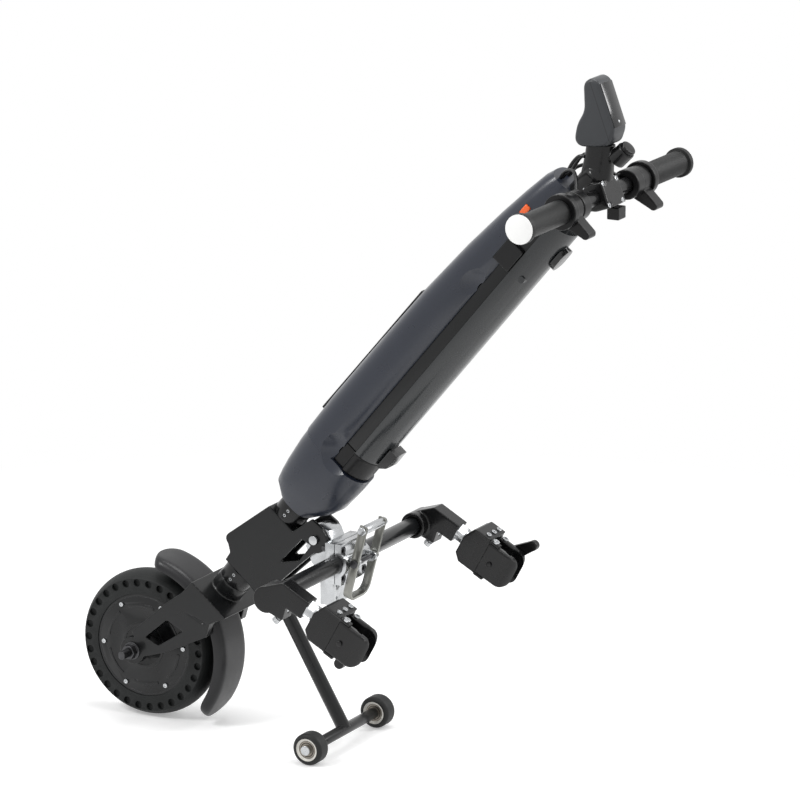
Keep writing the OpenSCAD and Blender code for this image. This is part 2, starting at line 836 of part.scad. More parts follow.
module head_bearings() {
    color("silver") place() steer() for (t = [head_top - head_bearing_h, head_bot])
        translate([0, 0, t]) difference() {
            cylinder(d = head_bearing_d, h = head_bearing_h);
            translate([0, 0, -over]) cylinder(d = steerer_d + 2 * shaft_gap, h = head_bearing_h + 2 * over);
        }
}

module head_block() {
    color([0.18, 0.19, 0.2]) place() steer() difference() {
        union() {
            plate(2 * barrel_r) {
                polygon(concat(spread(head_front_shares, ear_reach, -head_len, 0, head_top),
                    spread(head_rear_shares, ear_reach, -head_len, 0, head_top)));
                translate([head_corner_share[0] * ear_reach, head_top - head_corner_share[1] * head_len])
                    circle(r = head_corner_r);
                translate([ear_reach, ear_up]) circle(r = ear_r);
                translate([stand_p, stand_t]) circle(r = stand_knuckle_r);
            }
            translate([0, 0, head_bot]) cylinder(r = barrel_r, h = head_len);
        }
        translate([slot_front, -ear_in, head_bot - head_len]) cube([shell_len, 2 * ear_in, 3 * head_len]);
        translate([0, 0, head_top]) cylinder(r = barrel_r + run_gap, h = head_len);
        plate(collar_d + 2 * over) polygon(spread(head_window_shares, ear_reach, -head_len, 0, head_top));
        translate([0, 0, head_bot - over]) cylinder(d = steerer_d + 4 * run_gap, h = head_len + 2 * over);
        for (t = [head_top - head_bearing_h, head_bot - over]) translate([0, 0, t])
            cylinder(d = head_bearing_d + 2 * seat_gap, h = head_bearing_h + over);
        translate([ear_reach, 0, ear_up]) rod_y(pivot_d / 2 + seat_gap, collar_d + 2 * over);
        translate([stand_p, 0, stand_t]) rod_y(pivot_d / 2 + seat_gap, collar_d + 2 * over);
    }
}

module pivot_bolts() {
    color("silver") place() steer() for (q = [[ear_reach, ear_up], [stand_p, stand_t]])
        translate([q[0], 0, q[1]]) {
            rod_y(pivot_d / 2, collar_d);
            for (s = sides) rod_y(pivot_head_r, pivot_head_h, s * (barrel_r + pivot_head_h / 2));
        }
}

// Coupler, cross tube and arms

module tube_bore(r) { translate([tube_x, 0, tube_z]) rod_y(r, 2 * clamp_track); }

module coupler_block() {
    color([0.85, 0.85, 0.85]) place() difference() {
        union() {
            plate(2 * knuckle_half) {
                translate([pivot[0], pivot[2]]) circle(r = knuckle_r);
                polygon(spread(tongue_shares, tube_back, tube_drop, pivot[0], pivot[2]));
            }
            translate([tube_x - saddle_front, -saddle_w / 2, tube_z - saddle_bot])
                cube([saddle_front - split_gap / 2, saddle_w, saddle_top + saddle_bot]);
            translate([tube_x - lock_front, -lock_w / 2, tube_z - saddle_bot - lock_h])
                cube([lock_depth, lock_w, lock_h + over]);
        }
        tube_bore(tube_r + seat_gap);
        translate(pivot) rod_y(pivot_d / 2 + shaft_gap, collar_d);
        bolt_places() translate([0, 0, -bolt_len]) cylinder(d = bolt_d + 2 * seat_gap, h = bolt_len);
        for (k = sides)
            translate([tube_x - lock_front + lock_depth, -lock_w / 4, tube_z - saddle_bot - (2 - k) * lock_h / 4])
                rotate([0, 90, 0]) cylinder(d = set_screw_d, h = 2 * lock_mark, center = true);
    }
}

// Bolt seats of the cap: local Z points rearward out of the cap
module bolt_places() {
    seat_x = tube_x + split_gap / 2 + cap_flange_t - bolt_head_h;
    for (y = sides, z = sides)
        translate([seat_x, y * bolt_pitch_y / 2, tube_z + z * bolt_pitch_z / 2]) rotate([0, 90, 0]) children();
}

module coupler_cap() {
    color([0.85, 0.85, 0.85]) place() difference() {
        union() {
            translate([tube_x + split_gap / 2, -saddle_w / 2, tube_z - saddle_bot])
                cube([cap_flange_t, saddle_w, saddle_top + saddle_bot]);
            intersection() {
                translate([tube_x, 0, tube_z]) rod_y(tube_r + cap_arch_wall, saddle_w);
                translate([tube_x + split_gap / 2, -saddle_w / 2, tube_z - saddle_bot])
                    cube([saddle_w, saddle_w, saddle_top + saddle_bot]);
            }
            for (s = sides) plate(lug_w, s * (handle_in - run_gap - lug_w / 2)) {
                translate([handle_pivot[0], handle_pivot[2]]) circle(r = lug_r);
                translate([tube_x + cap_flange_t / 2, handle_pivot[2] - lug_r])
                    square([handle_back - cap_flange_t / 2, 2 * lug_r]);
            }
        }
        tube_bore(tube_r + seat_gap);
        bolt_places() {
            translate([0, 0, -bolt_len]) cylinder(d = bolt_d + 2 * seat_gap, h = 2 * bolt_len);
            cylinder(d = bolt_head_d + 2 * seat_gap, h = bolt_len);
        }
        translate(handle_pivot) rod_y(handle_pin_d / 2 + seat_gap, saddle_w);
    }
}

module coupler_bolts() {
    color([0.3, 0.3, 0.31]) place() {
        bolt_places() socket_screw(bolt_d, bolt_len - over, bolt_head_d, bolt_head_h - over);
        translate(handle_pivot) {
            rod_y(handle_pin_d / 2, handle_w + 2 * run_gap);
            for (s = sides)
                rod_y(handle_pin_d, roller_head_h / 2, s * (handle_w / 2 + run_gap + roller_head_h / 4));
        }
    }
}

module cross_tube() {
    color([0.2, 0.2, 0.21]) place() translate([tube_x, 0, tube_z]) difference() {
        rod_y(tube_r, 2 * tube_half);
        rod_y(tube_r - tube_wall, 2 * tube_half + 2 * over);
    }
}

module arm(side) {
    place() difference() {
        union() {
            plate(arm_w, side * arm_y) {
                polygon(concat(spread(arm_elbow_shares, arm_reach, arm_reach, tube_x, tube_z), [
                    [arm_end[0] + sin(clamp_dip) * arm_h / 2, arm_end[2] + cos(clamp_dip) * arm_h / 2],
                    [arm_end[0] - sin(clamp_dip) * arm_h / 2, arm_end[2] - cos(clamp_dip) * arm_h / 2]],
                    spread(arm_belly_shares, arm_reach, arm_reach, tube_x, tube_z)));
                translate([tube_x, tube_z]) circle(r = arm_ring_r);
            }
            translate([tube_x, 0, tube_z])
                rod_y(arm_ring_r, arm_w + arm_ring_in, side * (arm_y - arm_ring_in / 2));
        }
        translate([tube_x, 0, tube_z]) rod_y(tube_r + seat_gap, 2 * tube_half);
        pinch_place(side) {
            translate([0, 0, -pinch_len]) cylinder(d = pinch_d + 2 * seat_gap, h = 2 * pinch_len);
            translate([0, 0, -pinch_len]) cylinder(d = pinch_head_d + 2 * run_gap, h = pinch_len - pinch_down);
        }
        clamp(side) translate([-stud_in, 0, 0]) rotate([0, 90, 0])
            cylinder(d = stud_d + 2 * seat_gap, h = stud_in + over);
    }
}

// Middle of an arm's pinch bolt: local Z up the bolt, which crosses the ring's slit
module pinch_place(side) {
    translate([tube_x + pinch_shares[0] * arm_reach, side * arm_y, tube_z + pinch_shares[1] * arm_reach])
        rotate([0, pinch_turn, 0]) children();
}

module arm_left() { color([0.17, 0.17, 0.18]) arm(-1); }

module arm_right() { color([0.17, 0.17, 0.18]) arm(1); }

module clamp_studs() {
    color([0.65, 0.65, 0.65]) place() for (s = sides) {
        clamp(s) rotate([0, 90, 0]) {
            translate([0, 0, -stud_in]) cylinder(d = stud_d, h = stud_in + 2 * body_u);
            difference() {
                hexagon(stud_nut_af, stud_nut_h);
                translate([0, 0, -over]) cylinder(d = stud_d + 2 * seat_gap, h = stud_nut_h + 2 * over);
            }
            translate([0, 0, stud_nut_h]) difference() {
                cylinder(d = stud_nut_af, h = body_u - stud_nut_h);
                translate([0, 0, -over]) cylinder(d = stud_d + 2 * seat_gap, h = stud_nut_h);
            }
        }
        pinch_place(s) translate([0, 0, -pinch_down]) mirror([0, 0, 1])
            socket_screw(pinch_d, pinch_len - over, pinch_head_d, pinch_head_h);
    }
}

// Wheelchair clamps

module clamp_body(side) {
    place() clamp(side) difference() {
        union() {
            plate(2 * body_half) polygon([
                [body_u, -body_bot + body_chamfer], [body_u + body_chamfer, -body_bot],
                [body_u + body_len, -body_bot], [body_u + body_len, body_top],
                [body_u + body_chamfer, body_top], [body_u, body_top - 2 * body_chamfer]]);
            translate([plate_u + plate_len / 2, 0, body_top]) block(plate_len, 2 * plate_half, plate_t);
            for (z = [jaw_h / 2 + seat_gap, -jaw_h / 2 - seat_gap - lug_t])
                translate([body_u + body_len - over, -jaw_way * jaw_pin_y - lug_half, z])
                    cube([lug_len + over, 2 * lug_half, lug_t]);
        }
        rotate([0, 90, 0]) cylinder(d = stud_d + 2 * seat_gap, h = 2 * body_u + over);
        translate([jaw_pin_u, -jaw_way * jaw_pin_y, -jaw_h]) cylinder(d = jaw_pin_d + 2 * seat_gap, h = 2 * jaw_h);
        for (k = [-1, 0, 1]) translate([plate_screw_u, k * plate_screw_pitch, body_top + plate_t - plate_screw_len])
            cylinder(d = plate_screw_d + 2 * seat_gap, h = plate_screw_len + over);
    }
}

module clamp_body_left() { color([0.2, 0.2, 0.2]) clamp_body(-1); }

module clamp_body_right() { color([0.2, 0.2, 0.2]) clamp_body(1); }

module clamp_screws() {
    color("silver") place() for (side = sides) clamp(side) {
        for (k = [-1, 0, 1]) translate([plate_screw_u, k * plate_screw_pitch, body_top + plate_t])
            socket_screw(plate_screw_d, plate_screw_len - over, 2 * plate_screw_d, plate_screw_d / 2);
        translate([jaw_pin_u, -jaw_way * jaw_pin_y, jaw_h / 2 + seat_gap + lug_t])
            socket_screw(jaw_pin_d, jaw_h + 2 * lug_t + 2 * seat_gap, 2 * jaw_pin_d, jaw_pin_d / 2);
    }
}

// Section of a jaw on the +Y side of the wheelchair tube
module jaw_outline() {
    difference() {
        union() {
            translate([grip_u, 0]) circle(r = jaw_r);
            translate([jaw_u, jaw_face]) square([grip_u - jaw_u, jaw_out - jaw_face]);
        }
        translate([grip_u, 0]) circle(r = frame_r);
        translate([0, -body_half * 2]) square([2 * grip_u, body_half * 2 + jaw_face]);
    }
}

module jaw(way) {
    difference() {
        mirror([0, way > 0 ? 0 : 1, 0]) translate([0, 0, -jaw_h / 2])
            linear_extrude(height = jaw_h) jaw_outline();
        translate([jaw_pin_u, way * jaw_pin_y, -jaw_h]) cylinder(d = jaw_pin_d + 2 * seat_gap, h = 2 * jaw_h);
        translate([rod_u, 0, rod_v]) rod_y(rod_d / 2 + run_gap, 4 * body_half);
    }
}

module inner_jaws() {
    color([0.19, 0.19, 0.2]) place() for (s = sides) clamp(s) jaw(-jaw_way);
}

module outer_jaw(side) {
    place() clamp(side) {
        jaw(jaw_way);
        translate([jaw_pin_u, jaw_way * jaw_pin_y, jaw_h / 2])
            socket_screw(jaw_pin_d, jaw_h - over, 2 * jaw_pin_d, jaw_pin_d / 2);
    }
}

module outer_jaw_left() { color([0.19, 0.19, 0.2]) outer_jaw(-1); }

module outer_jaw_right() { color([0.19, 0.19, 0.2]) outer_jaw(1); }

module clamp_rods() {
    color("silver") place() for (s = sides) clamp(s) translate([rod_u, 0, rod_v]) {
        rod_y(rod_d / 2, rod_end + jaw_out, jaw_way * (rod_end - jaw_out) / 2);
        rod_y(rod_nut_r, rod_nut_h, -jaw_way * (jaw_out + rod_nut_h / 2));
    }
}

// A clamp lever: a round hub on the rod and an arm that narrows to its tip
module clamp_lever(side, below) {
    place() clamp(side) translate([rod_u, 0, rod_v]) rotate([0, below - clamp_dip, 0]) difference() {
        plate(lever_t, jaw_way * (jaw_out + run_gap + lever_t / 2)) {
            circle(r = lever_hub_r);
            translate([lever_len, 0]) circle(r = lever_tip_r);
            polygon([for (q = lever_shares) [q[0] * lever_len, q[1] * lever_hub_r]]);
        }
        rod_y(rod_d / 2 + shaft_gap, 4 * body_half);
    }
}

module clamp_lever_left() { color([0.2, 0.2, 0.2]) clamp_lever(-1, lever_below[0]); }

module clamp_lever_right() { color([0.2, 0.2, 0.2]) clamp_lever(1, lever_below[1]); }

// Release handle: local Z up the straps, origin at the pivot pin

module handle() { translate(handle_pivot) rotate([0, handle_lean, 0]) children(); }

module release_handle() {
    color([0.49, 0.49, 0.46]) place() handle() difference() {
        translate([-handle_bar_w / 2, 0, 0]) rotate([90, 0, 90]) linear_extrude(height = handle_bar_w)
            rotate(-90) difference() {
                arch(handle_w / 2, -handle_top, -handle_low, handle_bend);
                arch(handle_in, -handle_top - over, -handle_low - handle_t, handle_bend - handle_t);
            }
        rod_y(handle_pin_d / 2 + shaft_gap, saddle_w);
        translate([0, 0, handle_top - roller_r]) rod_y(handle_pin_d / 2 + seat_gap, saddle_w);
    }
}

module handle_roller() {
    color("silver") place() handle() translate([0, 0, handle_top - roller_r]) {
        rod_y(roller_r, 2 * handle_in - 2 * seat_gap);
        for (s = sides) {
            rod_y(handle_pin_d / 2, handle_t + 2 * seat_gap, s * (handle_in + handle_t / 2));
            rod_y(roller_head_r, roller_head_h, s * (handle_w / 2 + seat_gap + roller_head_h / 2));
        }
    }
}

// Stand

module stand_leg() {
    color([0.19, 0.19, 0.2]) place() difference() {
        union() {
            translate(stand_pivot) rod_y(stand_knuckle_r, 2 * knuckle_half);
            translate(stand_pivot) rotate([0, 180 - stand_lean, 0]) cylinder(d = stand_leg_d, h = stand_leg_len);
            translate([stand_back, 0, stand_wheel_d / 2]) rod_y(stand_axle_d / 2, 2 * stand_tube_half);
        }
        translate(stand_pivot) rod_y(pivot_d / 2 + shaft_gap, collar_d);
        for (s = sides) translate([stand_back, 0, stand_wheel_d / 2])
            rod_y(stand_bolt_d / 2 + seat_gap, 2 * stand_bolt_in, s * stand_tube_half);
    }
}

module stand_wheel(side) {
    place() translate([stand_back, side * stand_track / 2, stand_wheel_d / 2]) rotate([90, 0, 0]) {
        rotate_extrude() difference() {
            union() {
                translate([stand_ring_r, -stand_wheel_w / 2])
                    square([stand_wheel_d / 2 - stand_ring_r - stand_tyre_corner, stand_wheel_w]);
                translate([stand_ring_r, -stand_wheel_w / 2 + stand_tyre_corner])
                    square([stand_wheel_d / 2 - stand_ring_r, stand_wheel_w - 2 * stand_tyre_corner]);
                for (s = sides)
                    translate([stand_wheel_d / 2 - stand_tyre_corner, s * (stand_wheel_w / 2 - stand_tyre_corner)])
                        circle(r = stand_tyre_corner);
            }
        }
        difference() {
            cylinder(r = stand_ring_r - seat_gap, h = stand_wheel_w - 2 * stand_hub_inset, center = true);
            cylinder(d = stand_bolt_d + 2 * shaft_gap, h = stand_wheel_w + over, center = true);
        }
    }
}

module stand_wheel_left() { color([0.2, 0.2, 0.2]) stand_wheel(-1); }

module stand_wheel_right() { color([0.2, 0.2, 0.2]) stand_wheel(1); }

module stand_bolts() {
    color("silver") place() translate([stand_back, 0, stand_wheel_d / 2]) for (s = sides) {
        rod_y(stand_bolt_d / 2, stand_wheel_w + 2 * run_gap + stand_bolt_in,
            s * (stand_tube_half - stand_bolt_in + (stand_wheel_w + 2 * run_gap + stand_bolt_in) / 2));
        rod_y(stand_head_r, stand_head_h, s * (stand_tube_half + stand_wheel_w + 2 * run_gap + stand_head_h / 2));
    }
}

// Column

module neck_casting() {
    color([0.15, 0.15, 0.16]) place() steer() difference() {
        union() {
            translate([0, 0, collar_h / 2]) cylinder(d = collar_d, h = neck_h);
            translate([spine_p, 0, neck_socket_t]) cylinder(r = neck_socket_r, h = neck_socket_len);
        }
        cylinder(d = steerer_d + 2 * seat_gap, h = steerer_up + seat_gap);
        translate([spine_p, 0, spine_t]) cylinder(d = spine_d + 2 * seat_gap, h = shell_len);
    }
}

module column_spine() {
    color("silver") place() steer() translate([spine_p, 0, spine_t]) difference() {
        cylinder(d = spine_d, h = spine_end - spine_t);
        translate([0, 0, -over]) cylinder(d = spine_d - 2 * spine_wall, h = shell_len);
    }
}

// One ring of the shell: a rounded D from its front, rear and half width
function power_cos(a) = sign(cos(a)) * pow(abs(cos(a)), 2 / shell_power);
function power_sin(a) = sign(sin(a)) * pow(abs(sin(a)), 2 / shell_power);
function shell_ring(k) = [for (i = [0 : shell_sides - 1]) let (a = i * 360 / shell_sides,
    front = -shell_front_shares[k] * shell_front, rear = shell_rear_shares[k] * shell_rear)
    [(front + rear) / 2 + power_cos(a) * (rear - front) / 2, power_sin(a) * shell_width_shares[k] * shell_w / 2,
        shell_t + shell_shares[k] * shell_len]];

// A closed skin through rings of equally many points
module loft(rings) {
    n = len(rings[0]);
    m = len(rings);
    polyhedron(points = [for (r = rings) each r], faces = concat(
        [[for (i = [0 : n - 1]) i]],
        [for (k = [0 : m - 2], i = [0 : n - 1]) let (j = (i + 1) % n)
            each [[k * n + i, (k + 1) * n + i, (k + 1) * n + j], [k * n + i, (k + 1) * n + j, k * n + j]]],
        [[for (i = [n - 1 : -1 : 0]) (m - 1) * n + i]]));
}

// Section of the battery's slab and of its round back
module battery_slab_outline(gap) {
    translate([battery_front - gap, -battery_slab - gap])
        square([battery_band - battery_front + gap, 2 * (battery_slab + gap)]);
}

module battery_back_outline(gap) {
    intersection() {
        translate([battery_p, 0]) circle(r = battery_r + gap);
        translate([battery_band, -battery_r - gap]) square(2 * (battery_r + gap));
    }
}

module column_shell() {
    color([0.26, 0.28, 0.31]) place() steer() difference() {
        loft([for (k = [0 : len(shell_shares) - 1]) shell_ring(k)]);
        cylinder(d = collar_d + 2 * seat_gap, h = collar_h / 2 + neck_h + seat_gap);
        translate([spine_p, 0, neck_socket_t - seat_gap])
            cylinder(r = neck_socket_r + seat_gap, h = neck_socket_len + 2 * seat_gap);
        translate([spine_p, 0, neck_socket_t]) cylinder(d = spine_d + 2 * seat_gap, h = stem_t - neck_socket_t);
        translate([battery_front - bay_gap, -battery_slab - bay_gap, dock_t])
            cube([shell_len, 2 * (battery_slab + bay_gap), battery_top + bay_gap - dock_t]);
        translate([controller_p - seat_gap, -controller_w / 2 - seat_gap, controller_t - seat_gap])
            cube([controller_deep + 2 * seat_gap, controller_w + 2 * seat_gap, controller_len + 2 * seat_gap]);
        strip_solid(seat_gap);
        stem_solid(seat_gap);
        switch_well(run_gap);
        for (s = sides) guide_solid(s, seat_gap);
        for (s = sides, t = [dock_t + scoop_low, battery_top - scoop_high])
            translate([scoop_p, s * (shell_w / 2 + scoop_r - scoop_deep), t]) sphere(r = scoop_r);
    }
}

module strip_solid(gap) {
    low = shell_t + strip_shares[0] * shell_len - gap;
    high = shell_t + strip_shares[1] * shell_len + gap;
    plate(strip_w + 2 * gap) polygon([
        [-shell_front - strip_proud - gap, low], [-shell_front * strip_lean_share - strip_proud - gap, high],
        [-shell_front + strip_deep + gap, high], [-shell_front + strip_deep + gap, low]]);
}

// A guide at one side of the battery's upper end
module guide_solid(side, gap) {
    inside = battery_slab + bay_gap;
    low = battery_top - guide_down - guide_len - gap;
    translate([(guide_rear - guide_front) / 2, side * (inside + guide_out) / 2, low])
        block(guide_front + guide_rear + 2 * gap, guide_out - inside + 2 * gap, guide_len + 2 * gap);
}

module front_strip() { color([0.12, 0.12, 0.13]) place() steer() strip_solid(0); }

module battery_dock() {
    color([0.2, 0.21, 0.21]) place() steer() {
        translate([0, 0, dock_t + seat_gap]) linear_extrude(height = battery_t - dock_t - seat_gap - dock_gap) {
            battery_slab_outline(0);
            battery_back_outline(0);
        }
        for (s = sides) guide_solid(s, 0);
    }
}

module controller() {
    color([0.3, 0.3, 0.32]) place() steer() translate([controller_p, -controller_w / 2, controller_t])
        cube([controller_deep, controller_w, controller_len]);
}

module battery_pack() {
    color([0.16, 0.17, 0.17]) place() steer() translate([0, 0, battery_t]) linear_extrude(height = battery_len)
        battery_slab_outline(0);
}

module battery_cover() {
    color([0.3, 0.31, 0.32]) place() steer() {
        translate([0, 0, battery_t]) linear_extrude(height = battery_len) battery_back_outline(0);
        translate([battery_p + battery_r - over, 0, battery_top - port_up])
            rotate([0, 90, 0]) linear_extrude(height = port_rise) {
                translate([-(port_len - port_w) / 2, 0]) circle(d = port_w);
                translate([(port_len - port_w) / 2, 0]) circle(d = port_w);
                square([port_len - port_w, port_w], center = true);
            }
        plate(latch_w) polygon([
            [battery_p + battery_r - over, battery_t], [battery_p + battery_r + latch_out - latch_slope, battery_t],
            [battery_p + battery_r + latch_out, battery_t + latch_slope],
            [battery_p + battery_r + latch_out, battery_t + latch_len],
            [battery_p + battery_r - over, battery_t + latch_len]]);
        translate([lock_p, 0, battery_t + lock_up_share * battery_len])
            rotate([90, 0, 0]) cylinder(r = lock_r, h = battery_r - lock_in);
    }
}

// Stem: a foot in the shell over the spine, a post and the ring of the bar's clamp
module stem_solid(gap) {
    translate([stem_foot_p - gap, -stem_foot_half - gap, stem_t - gap])
        cube([stem_p - stem_foot_p + 2 * gap, 2 * (stem_foot_half + gap), stem_foot_len + 2 * gap]);
    translate([stem_p, 0, stem_t - gap]) cylinder(r = stem_r + gap, h = stem_len + 2 * gap);
}

// Frame of the bar's clamp: local X out through the cap, rearward and up
module bar_frame() { translate([bar_x, 0, bar_z]) rotate([0, -cap_tilt, 0]) children(); }

// Seats of the cap's four screws: local Z out of the cap
module cap_screw_places() {
    for (y = sides, z = sides) translate([cap_t - cap_screw_head_h, y * cap_screw_y, z * cap_screw_z])
        rotate([0, 90, 0]) children();
}

module stem_screw() { socket_screw(cap_screw_d, cap_screw_len, cap_screw_head_d, cap_screw_head_h - over); }

module stem() {
    color([0.17, 0.17, 0.18]) place() difference() {
        union() {
            steer() stem_solid(0);
            translate([bar_x, 0, bar_z]) rod_y(stem_clamp_r, 2 * stem_clamp_half);
            plate(2 * bracket_half) difference() {
                polygon(spread(bracket_shares, bracket_w, display_up, bar_x, bar_z));
                translate([0, -seat_gap]) display_outline();
            }
            button_place() translate([0, 0, -button_seat_h]) cylinder(r = button_seat_r, h = button_seat_h);
        }
        translate([bar_x, 0, bar_z]) rod_y(bar_d / 2 + seat_gap, bar_w);
        bar_frame() translate([-split_gap / 2, -stem_clamp_half - over, -stem_clamp_r - run_gap])
            cube([3 * stem_clamp_r, 2 * (stem_clamp_half + over), 2 * (stem_clamp_r + run_gap)]);
        bar_frame() cap_screw_places() translate([0, 0, -cap_screw_len - over])
            cylinder(d = cap_screw_d + 2 * seat_gap, h = cap_screw_len);
        button_place() translate([0, 0, -button_in - run_gap])
            cylinder(r = button_r + run_gap, h = button_in + over);
    }
}

module stem_cap() {
    color([0.15, 0.15, 0.16]) place() bar_frame() difference() {
        translate([split_gap / 2, 0, 0]) intersection() {
            rotate([0, 90, 0]) translate([-stem_clamp_r, -stem_clamp_half, 0])
                cube([2 * stem_clamp_r, 2 * stem_clamp_half, cap_t - split_gap / 2]);
            plate(2 * stem_clamp_half) circle(r = stem_clamp_r + cap_corner);
        }
        rod_y(bar_d / 2 + seat_gap, bar_w);
        cap_screw_places() {
            translate([0, 0, -cap_screw_len]) cylinder(d = cap_screw_d + 2 * seat_gap, h = cap_screw_len + over);
            cylinder(d = cap_screw_head_d + 2 * seat_gap, h = cap_screw_head_h + over);
        }
    }
}

module handlebar() {
    color([0.2, 0.2, 0.2]) place() translate([bar_x, 0, bar_z]) difference() {
        rod_y(bar_d / 2, bar_w - 2 * bar_end_in);
        rod_y(bar_d / 2 - bar_wall, bar_w);
    }
}

module grips() {
    color([0.2, 0.2, 0.21]) place() translate([bar_x, 0, bar_z]) for (s = sides) {
        difference() {
            union() {
                rod_y(grip_d / 2, grip_len - grip_disc_t, s * (bar_w - grip_disc_t - grip_len) / 2);
                rod_y(grip_flange_r, grip_flange_w, s * (bar_w / 2 - grip_disc_t - grip_flange_w / 2));
            }
            rod_y(bar_d / 2 + seat_gap, bar_w - 2 * bar_end_in + 2 * seat_gap);
        }
        rod_y(grip_disc_r, grip_disc_t, s * (bar_w / 2 - grip_disc_t / 2));
    }
}

module paddle_bodies() {
    color([0.17, 0.17, 0.18]) place() translate([bar_x, 0, bar_z]) for (s = sides) difference() {
        union() {
            rod_y(paddle_body_r, paddle_body_w, s * (paddle_y - run_gap - paddle_body_w / 2));
            rod_y(paddle_collar_r, paddle_collar_w, s * (paddle_y + paddle_w + run_gap + paddle_collar_w / 2));
        }
        rod_y(bar_d / 2 + seat_gap, bar_w);
    }
}

// A thumb paddle: a ring on the bar and a blade that points rearward and down
module paddle(side) {
    place() translate([bar_x, 0, bar_z]) rotate([0, -paddle_angle, 0]) difference() {
        union() {
            rod_y(paddle_ring_r, paddle_w, side * (paddle_y + paddle_w / 2));
            plate(paddle_w, side * (paddle_y + paddle_w / 2)) {
                polygon([[0, paddle_tip_r], [0, -paddle_ring_r + seat_gap],
                    [paddle_len - paddle_tip_r, -paddle_tip_r], [paddle_len - paddle_tip_r, paddle_tip_r]]);
                translate([paddle_len - paddle_tip_r, 0]) circle(r = paddle_tip_r);
            }
        }
        rod_y(bar_d / 2 + shaft_gap, bar_w);
    }
}

module throttle_paddle() { color([0.2, 0.2, 0.2]) paddle(1); }

module brake_paddle() { color([0.2, 0.2, 0.2]) paddle(-1); }

module switch_block() {
    color([0.17, 0.17, 0.17]) place() translate([bar_x, 0, bar_z]) difference() {
        translate([switch_block_x, switch_block_y - switch_block_w / 2, -switch_block_h - switch_block_top])
            cube([switch_block_d, switch_block_w, switch_block_h]);
        rod_y(stem_clamp_r + seat_gap, bar_w);
    }
}

module display_outline() { polygon(spread(display_shares, display_d, display_h, display_x, display_z)); }

module display_housing() {
    color([0.3, 0.3, 0.31]) place() difference() {
        plate(display_w) display_outline();
        screen_place() block(screen_len + 2 * seat_gap, display_w - 2 * screen_margin + 2 * seat_gap, screen_t);
    }
}

// Frame of the screen: local X down the screen, local Z out of its seat towards the rider
module screen_place() {
    translate([(screen_low[0] + screen_high[0]) / 2, 0, (screen_low[1] + screen_high[1]) / 2])
        rotate([0, 90 - screen_lean, 0]) translate([0, 0, -screen_inset]) children();
}

module display_screen() {
    color([0.1, 0.1, 0.11]) place() screen_place() block(screen_len, display_w - 2 * screen_margin, screen_inset);
}

// Seat of the push button: local Z out of the seat, rearward and up
module button_place() {
    translate([bar_x + button_x, 0, bar_z + button_z]) rotate([0, button_tilt, 0]) children();
}

module push_button() {
    color([0.3, 0.3, 0.31]) place() button_place() translate([0, 0, button_travel - button_in])
        cylinder(r = button_r, h = button_in + button_h);
}

// Well of the power switch in the shell's near side
module switch_well(gap) {
    translate([switch_p, -switch_in + switch_travel + gap - shell_w / 2, switch_t - switch_w / 2 - gap])
        block(switch_h + 2 * gap, shell_w, switch_w + 2 * gap);
}

module power_switch() {
    color([0.95, 0.4, 0.15]) place() steer()
        translate([switch_p, -(switch_out + switch_in) / 2, switch_t - switch_w / 2])
            block(switch_h, switch_out - switch_in, switch_w);
}

// Cables: a smooth tube through hand-chosen points

function curve(a, b, c, d, s) = (2 * b + (c - a) * s + (2 * a - 5 * b + 4 * c - d) * s * s
    + (3 * b - a - 3 * c + d) * s * s * s) / 2;
function smooth(pts) = let (last = len(pts) - 1) [for (i = [0 : last - 1], k = [0 : cable_steps - 1])
    curve(pts[max(i - 1, 0)], pts[i], pts[i + 1], pts[min(i + 2, last)], k / cable_steps), pts[last]];
function tangent(path, i) = let (d = path[min(i + 1, len(path) - 1)] - path[max(i - 1, 0)]) d / norm(d);
function tube_ring(c, dir) = let (x = cross([0, 0, 1], dir), a = x / norm(x), b = cross(dir, a))
    [for (k = [0 : cable_sides - 1])
        let (turn = k * 360 / cable_sides) c + cable_d / 2 * (cos(turn) * a + sin(turn) * b)];

module cables() {
    color([0.12, 0.12, 0.12]) place() translate([bar_x, 0, bar_z]) for (route = cable_routes)
        let (path = smooth(route)) loft([for (i = [len(path) - 1 : -1 : 0]) tube_ring(path[i], tangent(path, i))]);
}

tyre();
hub_shell();
hub_covers();
cover_screws();
magnet_ring();
hub_bearings();
stator();
motor_axle();
axle_nuts();
fork();
mudguard();
steerer_tube();
head_collars();
steering_screws();
head_bearings();
head_block();
pivot_bolts();
coupler_block();
coupler_cap();
coupler_bolts();
cross_tube();
arm_left();
arm_right();
clamp_studs();
clamp_body_left();
clamp_body_right();
clamp_screws();
inner_jaws();
clamp_rods();
outer_jaw_left();
outer_jaw_right();
clamp_lever_left();
clamp_lever_right();
release_handle();
handle_roller();
stand_leg();
stand_wheel_left();
stand_wheel_right();
stand_bolts();
neck_casting();
column_spine();
column_shell();
front_strip();
battery_dock();
controller();
battery_pack();
battery_cover();
stem();
stem_cap();
handlebar();
grips();
paddle_bodies();
throttle_paddle();
brake_paddle();
switch_block();
display_housing();
display_screen();
push_button();
power_switch();
cables();
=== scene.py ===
# Front-drive power add-on for a wheelchair: looks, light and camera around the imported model.
import json
import math

import bmesh
import bpy
from mathutils import Matrix, Vector


